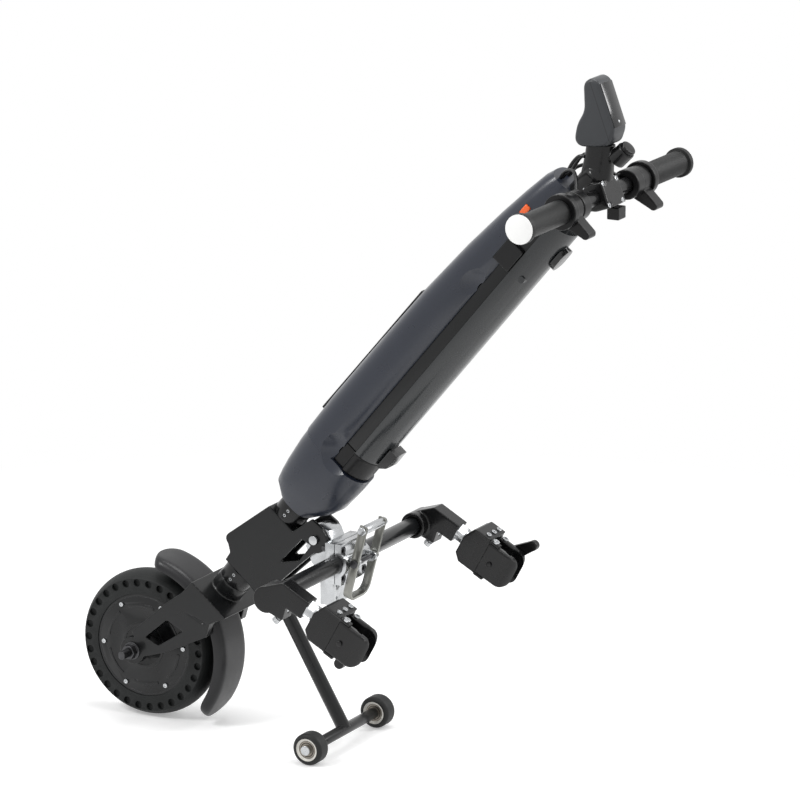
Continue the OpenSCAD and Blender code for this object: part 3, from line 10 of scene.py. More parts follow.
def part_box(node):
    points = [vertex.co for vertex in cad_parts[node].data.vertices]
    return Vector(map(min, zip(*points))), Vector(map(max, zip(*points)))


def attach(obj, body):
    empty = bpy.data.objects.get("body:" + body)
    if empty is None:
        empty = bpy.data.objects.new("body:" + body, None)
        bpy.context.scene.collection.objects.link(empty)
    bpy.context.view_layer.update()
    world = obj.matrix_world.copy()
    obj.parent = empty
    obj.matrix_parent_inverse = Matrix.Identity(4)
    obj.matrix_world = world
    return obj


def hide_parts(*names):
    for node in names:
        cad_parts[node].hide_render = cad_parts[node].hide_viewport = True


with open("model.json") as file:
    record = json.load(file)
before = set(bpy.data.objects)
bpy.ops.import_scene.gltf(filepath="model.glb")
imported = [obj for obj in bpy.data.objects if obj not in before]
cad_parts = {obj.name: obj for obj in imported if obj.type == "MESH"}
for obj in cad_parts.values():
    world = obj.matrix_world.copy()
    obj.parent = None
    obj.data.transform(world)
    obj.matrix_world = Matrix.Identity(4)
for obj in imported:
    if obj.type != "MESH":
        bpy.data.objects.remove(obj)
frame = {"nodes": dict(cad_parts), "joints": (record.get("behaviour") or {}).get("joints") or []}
nodes = frame["nodes"]
joints = {joint["name"]: joint for joint in frame["joints"]}
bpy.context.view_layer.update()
scene = bpy.context.scene
scene.view_settings.view_transform = "Standard"

# Millimetres in a metre, and the direction across the object, to its right
MM = 1000
ACROSS = Vector((0.0, 1.0, 0.0))

# Places taken from the joints, in metres
wheel_axle = Vector(joints["wheel_spin"]["pos_m"])
stand_axle = Vector(joints["stand_left_spin"]["pos_m"])
steer_at = Vector(joints["steering_turn"]["pos_m"])
steer_up = Vector(joints["steering_turn"]["axis"]).normalized()
steer_back = Vector((steer_up.z, 0.0, -steer_up.x))
bar_middle = Vector(joints["throttle_press"]["pos_m"])
bar_middle.y = 0.0


def srgb(r, g, b):
    """A linear colour from the three values of a display colour, 0 to 255."""
    def lin(c):
        c = c / 255
        return c / 12.92 if c <= 0.04045 else ((c + 0.055) / 1.055) ** 2.4
    return (lin(r), lin(g), lin(b), 1.0)


# Camera: the point it looks at and its distance, in metres

TARGET = Vector((0.0, 0.0, 0.4))
AZIMUTH = math.radians(28.78)
ELEVATION = math.radians(14.61)
DISTANCE = 7.74929
SHIFT_RIGHT = 0.35554
SHIFT_UP = 0.06249
# Focal length as a share of the picture's width, and the camera's sensor in millimetres
FOCAL_SHARE = 5439.76 / 800
SENSOR = 36.0

back = Vector((
    math.sin(AZIMUTH) * math.cos(ELEVATION),
    -math.cos(AZIMUTH) * math.cos(ELEVATION),
    math.sin(ELEVATION),
))
right = Vector((math.cos(AZIMUTH), math.sin(AZIMUTH), 0.0))
up = back.cross(right)
camera_data = bpy.data.cameras.new("camera")
camera = bpy.data.objects.new("camera", camera_data)
scene.collection.objects.link(camera)
camera_data.sensor_width = SENSOR
camera_data.lens = FOCAL_SHARE * SENSOR
camera_data.clip_end = 100.0
place = TARGET + back * DISTANCE + right * SHIFT_RIGHT + up * SHIFT_UP
place.x += wheel_axle.x
turn = Matrix((right, up, back)).transposed()
camera.matrix_world = Matrix.Translation(place) @ turn.to_4x4()
scene.camera = camera


# Mesh helpers, with sizes in millimetres

# Angle in degrees at which smooth shading breaks, and the share of a side that a round corner may take
CRISP_ANGLE = 38
CORNER_SHARE = 0.46


def new_piece(name, bm, body="steering", closed=True):
    """Turns the mesh into a piece that rides on a body."""
    if closed:
        bmesh.ops.recalc_face_normals(bm, faces=bm.faces[:])
    for face in bm.faces:
        face.smooth = True
    mesh = bpy.data.meshes.new(name)
    bm.to_mesh(mesh)
    bm.free()
    obj = bpy.data.objects.new(name, mesh)
    scene.collection.objects.link(obj)
    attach(obj, body)
    return obj


def skin(bm, rings):
    """Joins each closed ring to the next."""
    for a, b in zip(rings, rings[1:]):
        for k in range(len(a)):
            n = (k + 1) % len(a)
            bm.faces.new((a[k], a[n], b[n], b[k]))


def bridge(bm, rings):
    """Skins the closed rings and fills the first and the last."""
    skin(bm, rings)
    bm.faces.new(list(reversed(rings[0])))
    bm.faces.new(rings[-1])


def ring(bm, centre, u, v, a, b, power=2.0, turns=40):
    """A closed ring of points, round or squarish, in the plane of two directions."""
    points = []
    for k in range(turns):
        c = math.cos(2 * math.pi * k / turns)
        s = math.sin(2 * math.pi * k / turns)
        x = a * math.copysign(abs(c) ** (2 / power), c)
        y = b * math.copysign(abs(s) ** (2 / power), s)
        points.append(bm.verts.new(centre + (u * x + v * y) / MM))
    return points


def round_outline(points, cut, steps=7):
    """The closed outline with every corner drawn as a smooth curve."""
    result = []
    for i, corner in enumerate(points):
        ends = []
        for other in (points[i - 1], points[(i + 1) % len(points)]):
            way = other - corner
            ends.append(corner + way * min(cut / way.length, CORNER_SHARE))
        for k in range(steps + 1):
            f = k / steps
            result.append(ends[0] * (1 - f) ** 2 + corner * 2 * f * (1 - f) + ends[1] * f ** 2)
    return result


def inset(outline, distance):
    """The outline moved inward, square to itself."""
    middle = sum(outline, Vector((0.0, 0.0))) / len(outline)
    result = []
    for i, point in enumerate(outline):
        way = (outline[(i + 1) % len(outline)] - outline[i - 1]).normalized()
        side = Vector((-way.y, way.x))
        result.append(point + side * distance)
    before = sum((point - middle).length for point in outline)
    after = sum((point - middle).length for point in result)
    if after > before and distance > 0:
        return [2 * a - b for a, b in zip(outline, result)]
    return result


def shade_edges(obj):
    """Keeps the true edges of a smooth-shaded piece crisp."""
    split = obj.modifiers.new("split", "EDGE_SPLIT")
    split.split_angle = math.radians(CRISP_ANGLE)


def remould(obj, grid_mm, steps):
    """Gives the piece a fine even mesh and smooths it."""
    grid = obj.modifiers.new("grid", "REMESH")
    grid.mode = "VOXEL"
    grid.voxel_size = grid_mm / MM
    grid.use_smooth_shade = True
    relax = obj.modifiers.new("relax", "SMOOTH")
    relax.factor = 0.5
    relax.iterations = steps


# Cables: routes in millimetres from the middle of the handlebar, rearward, right and up

CABLE_R = 2.5
CABLE_STEPS = 4
CABLE_TURNS = 16
DISPLAY_ROUTE = [(-54.9, 8, 20.2), (-48, 8, 29), (-40, 8, 42), (-31, 8, 51), (-22.1, 8, 52)]
PADDLE_ROUTE = [
    (-54.9, 14.5, 20.2), (-47, 16, 30), (-31, 26, 35), (-19, 40, 29), (-11, 54, 19),
    (-8, 62, 14), (-8, 70.6, 14),
]
# Name, route and side of each cable
CABLES = (
    ("cable_display_left", DISPLAY_ROUTE, -1),
    ("cable_display_right", DISPLAY_ROUTE, 1),
    ("cable_brake", PADDLE_ROUTE, -1),
    ("cable_throttle", PADDLE_ROUTE, 1),
)


def smooth_route(points):
    """The same smooth curve through the points as the cable solids follow."""
    last = len(points) - 1
    path = []
    for i in range(last):
        a, b, c, d = points[max(i - 1, 0)], points[i], points[i + 1], points[min(i + 2, last)]
        for k in range(CABLE_STEPS):
            s = k / CABLE_STEPS
            second = 2 * a - 5 * b + 4 * c - d
            third = 3 * b - a - 3 * c + d
            path.append((2 * b + (c - a) * s + second * s ** 2 + third * s ** 3) / 2)
    path.append(points[last])
    return path


def make_cable(name, path):
    """A round tube along the path, whose rings turn no more than the path does."""
    bm = bmesh.new()
    rings = []
    side = ACROSS
    for i, point in enumerate(path):
        way = (path[min(i + 1, len(path) - 1)] - path[max(i - 1, 0)]).normalized()
        side = (side - way * side.dot(way)).normalized()
        rings.append(ring(bm, point, side, way.cross(side), CABLE_R, CABLE_R, turns=CABLE_TURNS))
    bridge(bm, rings)
    cable = new_piece(name, bm)
    shade_edges(cable)
    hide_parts("cables")
    return cable


cables = []
for name, route, side in CABLES:
    points = [bar_middle + Vector((x, side * y, z)) / MM for x, y, z in route]
    cables.append(make_cable(name, smooth_route(points)))


# Mudguard: one curved sheet round the tyre, with a rounded tongue at both ends, sizes in millimetres

GUARD_R = 138.0
GUARD_HALF = 36.0
GUARD_CORNER = 12.0
GUARD_SKIRT = 3.0
GUARD_WALL = 3.0
GUARD_FROM = math.radians(-45)
GUARD_TO = math.radians(83)
LOW_TONGUE = 35.5
TOP_TONGUE = 22.0
TONGUE_POWER = 2.3
TIP_SHARE = 0.14
GUARD_ROWS = 96
GUARD_FLAT_POINTS = 5
GUARD_CORNER_POINTS = 8
RIM_ROUND = 0.8
RIM_ANGLE = math.radians(50)


def tongue(distance, length):
    """Share of the full width at a distance from a round end."""
    left = max(0.0, 1.0 - distance / length)
    return max(0.0, 1.0 - left ** TONGUE_POWER) ** (1 / TONGUE_POWER)


def guard_section(width):
    """Half of a section: offsets across and inward, from the middle of the top to the lower edge."""
    corner = GUARD_CORNER * width / GUARD_HALF
    points = [((width - corner) * i / GUARD_FLAT_POINTS, 0.0) for i in range(GUARD_FLAT_POINTS)]
    for i in range(GUARD_CORNER_POINTS):
        turn = math.pi / 2 * i / (GUARD_CORNER_POINTS - 1)
        points.append((width - corner + corner * math.sin(turn), corner - corner * math.cos(turn)))
    points.append((width, corner + GUARD_SKIRT * width / GUARD_HALF))
    return points


def make_guard():
    """The mudguard as one open sheet, thickened inward."""
    bm = bmesh.new()
    rows = []
    for i in range(GUARD_ROWS + 1):
        share = (1 - math.cos(math.pi * i / GUARD_ROWS)) / 2
        angle = GUARD_FROM + (GUARD_TO - GUARD_FROM) * share
        low = (angle - GUARD_FROM) * GUARD_R
        high = (GUARD_TO - angle) * GUARD_R
        width = GUARD_HALF * min(tongue(low, LOW_TONGUE), tongue(high, TOP_TONGUE))
        half = guard_section(max(width, TIP_SHARE * GUARD_HALF))
        section = [(-across, inward) for across, inward in reversed(half[1:])] + half
        row = []
        for across, inward in section:
            r = (GUARD_R - inward) / MM
            row.append(bm.verts.new((
                wheel_axle.x + r * math.cos(angle), across / MM, wheel_axle.z + r * math.sin(angle))))
        rows.append(row)
    for a, b in zip(rows, rows[1:]):
        for i in range(len(a) - 1):
            bm.faces.new((a[i], a[i + 1], b[i + 1], b[i]))
    bm.normal_update()
    middle = bm.faces[:][len(bm.faces) // 2]
    if middle.normal.dot(middle.calc_center_median() - wheel_axle) < 0:
        bmesh.ops.reverse_faces(bm, faces=bm.faces[:])
    obj = new_piece("mudguard_cover", bm, closed=False)
    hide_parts("mudguard")
    wall = obj.modifiers.new("wall", "SOLIDIFY")
    wall.thickness = GUARD_WALL / MM
    wall.offset = -1.0
    rim = obj.modifiers.new("rim", "BEVEL")
    rim.limit_method = "ANGLE"
    rim.angle_limit = RIM_ANGLE
    rim.width = RIM_ROUND / MM
    rim.segments = 2
    return obj


mudguard = make_guard()


# Display housing: a moulded body with round edges, sizes in millimetres from the middle of the handlebar

HOUSING_OUTLINE = [
    (-9.2, 163.0), (-21.0, 154.3), (-19.1, 116.4), (-30.3, 97.0), (-34.0, 74.7), (-24.7, 66.0),
    (19.9, 70.9), (28.0, 94.1), (3.8, 158.2),
]
HOUSING_HALF = 20.0
HOUSING_ROUND = 5.0
HOUSING_IN = 0.4
HOUSING_STEPS = 6
CORNER_CUT = 9.0


def make_housing():
    """The outline carried across the object and drawn in at both sides, which rounds the edges."""
    outline = inset(round_outline([Vector(point) for point in HOUSING_OUTLINE], CORNER_CUT), HOUSING_IN)
    rows = []
    for k in range(HOUSING_STEPS + 1):
        turn = math.pi / 2 * k / HOUSING_STEPS
        across = -HOUSING_HALF + HOUSING_ROUND * (1 - math.cos(turn))
        rows.append((across, HOUSING_ROUND * (1 - math.sin(turn))))
    rows += [(-across, inward) for across, inward in reversed(rows)]
    bm = bmesh.new()
    rings = []
    for across, inward in rows:
        points = [Vector((point.x, across, point.y)) for point in inset(outline, inward)]
        rings.append([bm.verts.new(bar_middle + point / MM) for point in points])
    bridge(bm, rings)
    obj = new_piece("display_case", bm)
    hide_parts("display_housing")
    return obj


housing = make_housing()


# Stem: post, bar clamp, display bracket and button seat cast in one, sizes in millimetres

POST_OFF = 21.0
POST_ROWS = [(-70, 21), (16, 21), (21, 20), (25, 17), (27.5, 12), (28, 5)]
CLAMP_ROWS = [(-26, 16.5), (-25.2, 18.2), (-23.5, 19), (23.5, 19), (25.2, 18.2), (26, 16.5)]
BRACKET_ROWS = [
    (-8, 20, 22, 17), (-7, 30, 22, 16.5), (-5, 44, 21, 15), (-3, 58, 20.5, 14), (-2, 70, 20, 13.5),
]
BRACKET_POWER = 2.6
SEAT_AT = (37.0, 66.0)
SEAT_PROFILE = [(0.5, -24), (13, -24), (13, -1.2), (11.9, 0), (11.3, 0), (11.3, -5.3), (0.5, -5.3)]
STEM_GRID = 0.8
STEM_STEPS = 12


def make_stem():
    """Four plain bodies that the even mesh joins into one casting."""
    rear = Vector((1.0, 0.0, 0.0))
    high = Vector((0.0, 0.0, 1.0))
    bm = bmesh.new()
    foot = bar_middle - steer_back * POST_OFF / MM
    bridge(bm, [ring(bm, foot + steer_up * t / MM, steer_back, ACROSS, r, r) for t, r in POST_ROWS])
    bridge(bm, [ring(bm, bar_middle + ACROSS * y / MM, rear, high, r, r) for y, r in CLAMP_ROWS])
    bridge(bm, [
        ring(bm, bar_middle + Vector((x, 0.0, z)) / MM, rear, ACROSS, a, b, BRACKET_POWER)
        for x, z, a, b in BRACKET_ROWS
    ])
    out = -Vector(joints["button_press"]["axis"]).normalized()
    seat = bar_middle + Vector((SEAT_AT[0], 0.0, SEAT_AT[1])) / MM
    side = out.cross(ACROSS)
    bridge(bm, [ring(bm, seat + out * h / MM, side, ACROSS, r, r) for r, h in SEAT_PROFILE])
    obj = new_piece("stem_casting", bm)
    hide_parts("stem")
    remould(obj, STEM_GRID, STEM_STEPS)
    return obj


stem = make_stem()


# Clamp jaws: blocks hollowed for the wheelchair tube, round at their free corners, sizes in millimetres

CLAMP_DIP = math.radians(28.7)
ROD_AT = (69.0, -2.0)
JAW_START = 55.3
JAW_FACE = 10.0
JAW_OUT = 21.0
GRIP_AT = 87.0
GRIP_R = 12.7
JAW_R = 20.7
JAW_HALF = 26.0
JAW_CORNER = 15.0
JAW_SIDE_STEPS = 4
JAW_ARC_STEPS = 8
# Height on the jaw, and how far its outline is drawn in there
JAW_ROWS = [
    (26, 1.6), (25.5, 0.8), (24.6, 0.25), (23.5, 0), (22, 0), (20, 0), (18, 0), (15, 0), (12, 0), (8, 0),
]
JAW_SCREW_AT = (61.0, 16.0)
JAW_SCREW_ROWS = [(5.0, 25.6), (5.0, 27.9), (4.4, 28.5), (2.5, 28.5), (2.3, 27.2), (0.4, 27.0)]
clamp_rear = Vector((math.cos(CLAMP_DIP), 0.0, -math.sin(CLAMP_DIP)))
clamp_high = Vector((math.sin(CLAMP_DIP), 0.0, math.cos(CLAMP_DIP)))


def jaw_section():
    """Outline of a jaw across the wheelchair tube: distances from the arm and from the middle."""
    steps = [(GRIP_AT - JAW_START) * i / JAW_SIDE_STEPS for i in range(JAW_SIDE_STEPS)]
    points = [Vector((JAW_START + step, JAW_OUT)) for step in steps]
    points.insert(0, Vector((JAW_START, (JAW_FACE + JAW_OUT) / 2)))
    points.insert(0, Vector((JAW_START, JAW_FACE)))
    low = math.asin(JAW_FACE / JAW_R)
    for i in range(JAW_ARC_STEPS + 1):
        angle = math.pi / 2 + (low - math.pi / 2) * i / JAW_ARC_STEPS
        points.append(Vector((GRIP_AT + JAW_R * math.cos(angle), JAW_R * math.sin(angle))))
    low = math.asin(JAW_FACE / GRIP_R)
    for i in range(JAW_ARC_STEPS + 1):
        angle = low + (math.pi - 2 * low) * i / JAW_ARC_STEPS
        points.append(Vector((GRIP_AT + GRIP_R * math.cos(angle), GRIP_R * math.sin(angle))))
    return points


def make_jaw(bm, pivot, way):
    """One jaw on one side of the tube."""
    across = ACROSS * way
    section = jaw_section()
    end = max(point.x for point in section)
    rows = JAW_ROWS + [(-v, inward) for v, inward in reversed(JAW_ROWS)]
    rings = []
    for v, inward in rows:
        over = max(0.0, abs(v) - (JAW_HALF - JAW_CORNER))
        limit = end - (JAW_CORNER - math.sqrt(JAW_CORNER ** 2 - over ** 2))
        points = []
        for point in inset(section, inward):
            u = min(point.x, limit - inward) - ROD_AT[0]
            offset = clamp_rear * u + clamp_high * (v - ROD_AT[1]) + across * point.y
            points.append(bm.verts.new(pivot + offset / MM))
        rings.append(points)
    bridge(bm, rings)


jaws = []
jaw_screws = []
inner = bmesh.new()
for side in ("left", "right"):
    pivot = Vector(joints["lever_" + side + "_turn"]["pos_m"])
    make_jaw(inner, pivot, -1)
    outer = bmesh.new()
    make_jaw(outer, pivot, 1)
    jaw = new_piece("jaw_cheek_" + side, outer, "jaw_" + side)
    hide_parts("outer_jaw_" + side)
    jaws.append(jaw)
    head = bmesh.new()
    seat = pivot + clamp_rear * (JAW_SCREW_AT[0] - ROD_AT[0]) / MM - clamp_high * ROD_AT[1] / MM
    seat += ACROSS * JAW_SCREW_AT[1] / MM
    bridge(head, [
        ring(head, seat + clamp_high * h / MM, clamp_rear, ACROSS, r, r) for r, h in JAW_SCREW_ROWS
    ])
    jaw_screws.append(new_piece("jaw_screw_" + side, head, "jaw_" + side))
jaw = new_piece("inner_cheeks", inner, "coupler")
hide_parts("inner_jaws")
jaws.append(jaw)
for piece in jaws + jaw_screws:
    shade_edges(piece)


# Tyre: the wall behind the holes, sizes in millimetres

HOLE_CIRCLE = 90.5
WEB_HALF = 7.0
WEB_AT = 21.5
WEB_DISH = 0.8
WEB_ROWS = 5
WEB_TURNS = 120


def make_webs():
    """A dished band on each side of the tyre, which closes its holes a little way in."""
    bm = bmesh.new()
    for side in (-1, 1):
        rows = []
        for i in range(WEB_ROWS):
            share = 2 * i / (WEB_ROWS - 1) - 1
            r = (HOLE_CIRCLE + WEB_HALF * share) / MM
            y = side * (WEB_AT - WEB_DISH * (1 - share * share)) / MM
            row = []
            for k in range(WEB_TURNS):
                a = 2 * math.pi * k / WEB_TURNS
                x = wheel_axle.x + r * math.cos(a)
                z = wheel_axle.z + r * math.sin(a)
                row.append(bm.verts.new((x, y, z)))
            rows.append(row)
        skin(bm, rows)
    return new_piece("tyre_webs", bm, "drive_wheel")


webs = make_webs()


# Indicator: a small pale dome on the screen, sizes in millimetres

INDICATOR_R = 2.0
INDICATOR_H = 0.9
INDICATOR_LOW = 24.4
INDICATOR_RINGS = 6
INDICATOR_TURNS = 24
# The least rearward part of a normal that still faces the rider
FACING = 0.5


def screen_face():
    """The face of the screen that the rider sees."""
    faces = [polygon for polygon in nodes["display_screen"].data.polygons if polygon.normal.x > FACING]
    return max(faces, key=lambda polygon: polygon.area)


def make_indicator():
    """The dome, seated on the face of the screen below its middle."""
    face = screen_face()
    out = Vector(face.normal)
    high = out.cross(ACROSS)
    if high.z < 0:
        high = -high
    low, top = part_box("display_screen")
    middle = Vector(((low.x + top.x) / 2, 0.0, (low.z + top.z) / 2))
    middle += out * (face.center - middle).dot(out)
    seat = middle - high * INDICATOR_LOW / MM
    bm = bmesh.new()
    rings = []
    for i in range(INDICATOR_RINGS):
        tilt = math.pi / 2 * i / INDICATOR_RINGS
        r = INDICATOR_R * math.cos(tilt)
        centre = seat + out * INDICATOR_H * math.sin(tilt) / MM
        rings.append(ring(bm, centre, ACROSS, high, r, r, turns=INDICATOR_TURNS))
    tip = bm.verts.new(seat + out * INDICATOR_H / MM)
    skin(bm, rings)
    for k in range(INDICATOR_TURNS):
        bm.faces.new((rings[-1][k], rings[-1][(k + 1) % INDICATOR_TURNS], tip))
    bm.faces.new(list(reversed(rings[0])))
    return new_piece("indicator_lens", bm)


indicator = make_indicator()


# Material helpers

class Maker:
    """Builds one node material step by step."""

    def __init__(self, name):
        self.mat = bpy.data.materials.new(name)
        self.mat.use_nodes = True
        self.tree = self.mat.node_tree
        self.bsdf = self.tree.nodes["Principled BSDF"]
        self.coord = self.add("ShaderNodeTexCoord").outputs["Object"]

    def add(self, kind, **settings):
        node = self.tree.nodes.new(kind)
        for key, value in settings.items():
            setattr(node, key, value)
        return node

    def link(self, a, b):
        self.tree.links.new(a, b)

    def stretch(self, scale):
        """The place on the piece, scaled along each axis."""
        node = self.add("ShaderNodeMapping")
        node.inputs["Scale"].default_value = scale
        self.link(self.coord, node.inputs["Vector"])
        return node.outputs["Vector"]

    def noise(self, scale, detail=3.0, rough=0.55, vector=None):
        node = self.add("ShaderNodeTexNoise")
        node.inputs["Scale"].default_value = scale
        node.inputs["Detail"].default_value = detail
        node.inputs["Roughness"].default_value = rough
        self.link(vector or self.coord, node.inputs["Vector"])
        return node.outputs["Fac"]

    def spread(self, value, low, high, start=0.0, end=1.0):
        """The value taken from the range start to end into the range low to high."""
        node = self.add("ShaderNodeMapRange")
        self.link(value, node.inputs["Value"])
        node.inputs["From Min"].default_value = start
        node.inputs["From Max"].default_value = end
        node.inputs["To Min"].default_value = low
        node.inputs["To Max"].default_value = high
        return node.outputs["Result"]

    def math(self, kind, a, b=None):
        node = self.add("ShaderNodeMath", operation=kind)
        for i, value in enumerate((a, b)):
            if value is None:
                continue
            if isinstance(value, (int, float)):
                node.inputs[i].default_value = value
            else:
                self.link(value, node.inputs[i])
        return node.outputs["Value"]

    def mix(self, fac, a, b):
        node = self.add("ShaderNodeMix", data_type="RGBA")
        self.link(fac, node.inputs["Factor"])
        colours = [socket for socket in node.inputs if socket.type == "RGBA"]
        for socket, value in zip(colours, (a, b)):
            if isinstance(value, tuple):
                socket.default_value = value
            else:
                self.link(value, socket)
        return [socket for socket in node.outputs if socket.type == "RGBA"][0]

    def bump(self, height, distance, strength):
        node = self.add("ShaderNodeBump")
        node.inputs["Distance"].default_value = distance
        node.inputs["Strength"].default_value = strength
        self.link(height, node.inputs["Height"])
        return node.outputs["Normal"]

    def axis(self, which):
        node = self.add("ShaderNodeSeparateXYZ")
        self.link(self.coord, node.inputs["Vector"])
        return node.outputs[which]

    def along(self, direction, start):
        """Distance from a point, measured along a direction."""
        node = self.add("ShaderNodeVectorMath", operation="DOT_PRODUCT")
        node.inputs[1].default_value = direction
        self.link(self.coord, node.inputs[0])
        return self.math("SUBTRACT", node.outputs["Value"], float(direction.dot(start)))

    def radius(self, centre):
        """Distance from an axle that lies across the object."""
        dx = self.math("SUBTRACT", self.axis("X"), centre.x)
        dz = self.math("SUBTRACT", self.axis("Z"), centre.z)
        square = self.math("ADD", self.math("MULTIPLY", dx, dx), self.math("MULTIPLY", dz, dz))
        return self.math("SQRT", square)

    def band(self, value, middle, width):
        """1 within a narrow band of a value and 0 outside it."""
        away = self.math("ABSOLUTE", self.math("SUBTRACT", value, middle))
        return self.math("LESS_THAN", away, width / 2)

    def edge(self, radius):
        """1 near an edge and 0 away from it, from the angle between the rounded and the true normal."""
        bevel = self.add("ShaderNodeBevel", samples=4)
        bevel.inputs["Radius"].default_value = radius
        geometry = self.add("ShaderNodeNewGeometry")
        dot = self.add("ShaderNodeVectorMath", operation="DOT_PRODUCT")
        self.link(bevel.outputs["Normal"], dot.inputs[0])
        self.link(geometry.outputs["Normal"], dot.inputs[1])
        return self.spread(dot.outputs["Value"], 1.0, 0.0, 0.75, 0.995)

    def tint(self, fac, colour):
        """Lays a colour over the base colour where the factor is 1."""
        base = self.bsdf.inputs["Base Color"].links[0].from_socket
        self.set(Base_Color=self.mix(fac, base, colour))

    def set(self, **values):
        """Sets or links inputs of the surface, whose names have _ for a blank here."""
        for key, value in values.items():
            socket = self.bsdf.inputs[key.replace("_", " ")]
            if hasattr(value, "is_output"):
                self.link(value, socket)
            else:
                socket.default_value = value


# Colour of rubbed edges, which is also a painted highlight along them, reach of that band from an edge
# and depth of brush lines, both in metres
RUBBED_AND_HIGHLIGHT = (0.2, 0.205, 0.21, 1.0)
RUB_AND_HIGHLIGHT_REACH = 0.001
BRUSH_DEPTH = 0.00002


def coated(name, dark, light, rough, grain_scale, grain_depth, wear_and_highlight=0.0, coat=0.0, shine=0.28):
    """A painted, powder-coated or moulded surface: fine grain, slight colour change, and lighter edges
    that are partly rubbed wear and partly a painted highlight.
    """
    m = Maker(name)
    patch = m.noise(11.0, 4.0)
    grain = m.noise(grain_scale, 2.0, 0.5)
    colour = m.mix(m.spread(patch, 0.0, 1.0, 0.3, 0.7), dark, light)
    if wear_and_highlight > 0.0:
        # Painted highlight: a pale band along the edges, broken up by noise, which is partly rubbed wear
        rub_and_highlight = m.spread(m.noise(240.0, 4.0), 0.0, wear_and_highlight, 0.4, 0.7)
        colour = m.mix(m.math("MULTIPLY", m.edge(RUB_AND_HIGHLIGHT_REACH), rub_and_highlight), colour, RUBBED_AND_HIGHLIGHT)
    m.set(Base_Color=colour)
    m.set(Roughness=m.spread(m.noise(45.0, 3.0), rough - 0.04, rough + 0.04, 0.3, 0.7))
    m.set(Normal=m.bump(grain, grain_depth, 0.5))
    m.set(Coat_Weight=coat, Coat_Roughness=0.12, Specular_IOR_Level=shine)
    return m


def metal(name, dark, light, rough, brush):
    """Bare metal with fine brush or turning lines."""
    m = Maker(name)
    lines = m.noise(1.0, 4.0, 0.6, m.stretch(brush))
    patch = m.noise(40.0, 3.0)
    m.set(Base_Color=m.mix(m.spread(patch, 0.0, 1.0, 0.3, 0.7), dark, light), Metallic=1.0)
    m.set(Roughness=m.spread(lines, rough - 0.08, rough + 0.1, 0.25, 0.75))
    m.set(Normal=m.bump(lines, BRUSH_DEPTH, 0.6))
    return m.mat


# Finishes: dark and light of the colour, roughness, then scale and depth of the grain or the brush

BLACK = srgb(13, 14, 15)
BLACK_LIGHT = srgb(19, 20, 21)
SOFT_BLACK = srgb(13, 13, 14)
SOFT_LIGHT = srgb(19, 19, 20)
SILVER = (0.42, 0.43, 0.44, 1.0)
# The coat, anodised and motor finishes get the lighter edges: rubbed wear and a painted highlight
coat_black = coated(
    "coat_black", BLACK, BLACK_LIGHT, 0.3, 900.0, 0.000012, wear_and_highlight=0.6, coat=0.3, shine=0.2).mat
anodised = coated(
    "anodised_black", srgb(12, 12, 13), SOFT_LIGHT, 0.28, 1600.0, 0.00001,
    wear_and_highlight=0.5, coat=0.3, shine=0.2).mat
guard = coated(
    "guard_plastic", srgb(24, 24, 26), srgb(30, 30, 32), 0.36, 1200.0, 0.00002, coat=0.1).mat
plastic = coated(
    "black_plastic", SOFT_BLACK, SOFT_LIGHT, 0.34, 1400.0, 0.00002, coat=0.15, shine=0.22).mat
motor = coated(
    "motor_case", BLACK, BLACK_LIGHT, 0.3, 900.0, 0.00001, wear_and_highlight=0.5, coat=0.35, shine=0.2).mat
battery_band = coated(
    "battery_band", srgb(14, 15, 16), srgb(18, 19, 20), 0.3, 1200.0, 0.00001, coat=0.2, shine=0.22).mat
screen = coated("screen", srgb(14, 15, 17), srgb(17, 18, 21), 0.2, 300.0, 0.000003, coat=0.3).mat
orange = coated(
    "orange_plastic", srgb(232, 92, 36), srgb(242, 108, 48), 0.3, 900.0, 0.00003, shine=0.5).mat
jacket = coated("cable_jacket", SOFT_BLACK, srgb(20, 20, 21), 0.34, 1500.0, 0.00002, coat=0.2).mat
lens = coated(
    "indicator_lens", srgb(206, 210, 212), srgb(224, 227, 228), 0.16, 600.0, 0.00001, coat=0.6).mat
copper = metal(
    "copper_core", (0.42, 0.2, 0.1, 1.0), (0.5, 0.26, 0.14, 1.0), 0.4, (8.0, 900.0, 900.0))
aluminium = metal(
    "machined_aluminium", SILVER, (0.52, 0.53, 0.54, 1.0), 0.22, (30.0, 30.0, 1400.0))
stainless = metal(
    "brushed_stainless", (0.22, 0.22, 0.2, 1.0), (0.28, 0.28, 0.26, 1.0), 0.34, (900.0, 900.0, 20.0))
zinc = metal("zinc_steel", SILVER, (0.54, 0.55, 0.56, 1.0), 0.24, (500.0, 500.0, 500.0))
dark_steel = metal(
    "dark_steel", (0.05, 0.05, 0.053, 1.0), (0.09, 0.09, 0.094, 1.0), 0.34, (500.0, 500.0, 500.0))


# Places and depths of the changes in a finish, in metres
BATTERY_BACK = 0.0545
PARTING_AT = -0.013
PARTING_WIDTH = 0.0009
TYRE_RINGS = (0.1015, 0.0795)
TYRE_RING_WIDTH = 0.0012
DISC_WIDTH = 0.0012
GRIP_RIB = 0.0035
WHEEL_RING_R = 0.0163
BEARING_R = 0.0125
RELIEF = 0.0003
WHEEL_RELIEF = 0.00008
# Radius and width of each groove in a stand wheel
GROOVES = ((0.0098, 0.0016), (0.0126, 0.0008))


def shell_paint():
    """Dark blue paint over the column shell, with a fine flake under a satin clear coat."""
    m = coated(
        "shell_paint", srgb(27, 32, 44), srgb(30, 35, 47), 0.3, 400.0, 0.000004, coat=0.3, shine=0.4)
    m.tint(m.spread(m.noise(3200.0, 1.0), 0.0, 1.0, 0.55, 0.75), srgb(38, 44, 58))
    m.set(Coat_Roughness=0.28)
    return m.mat


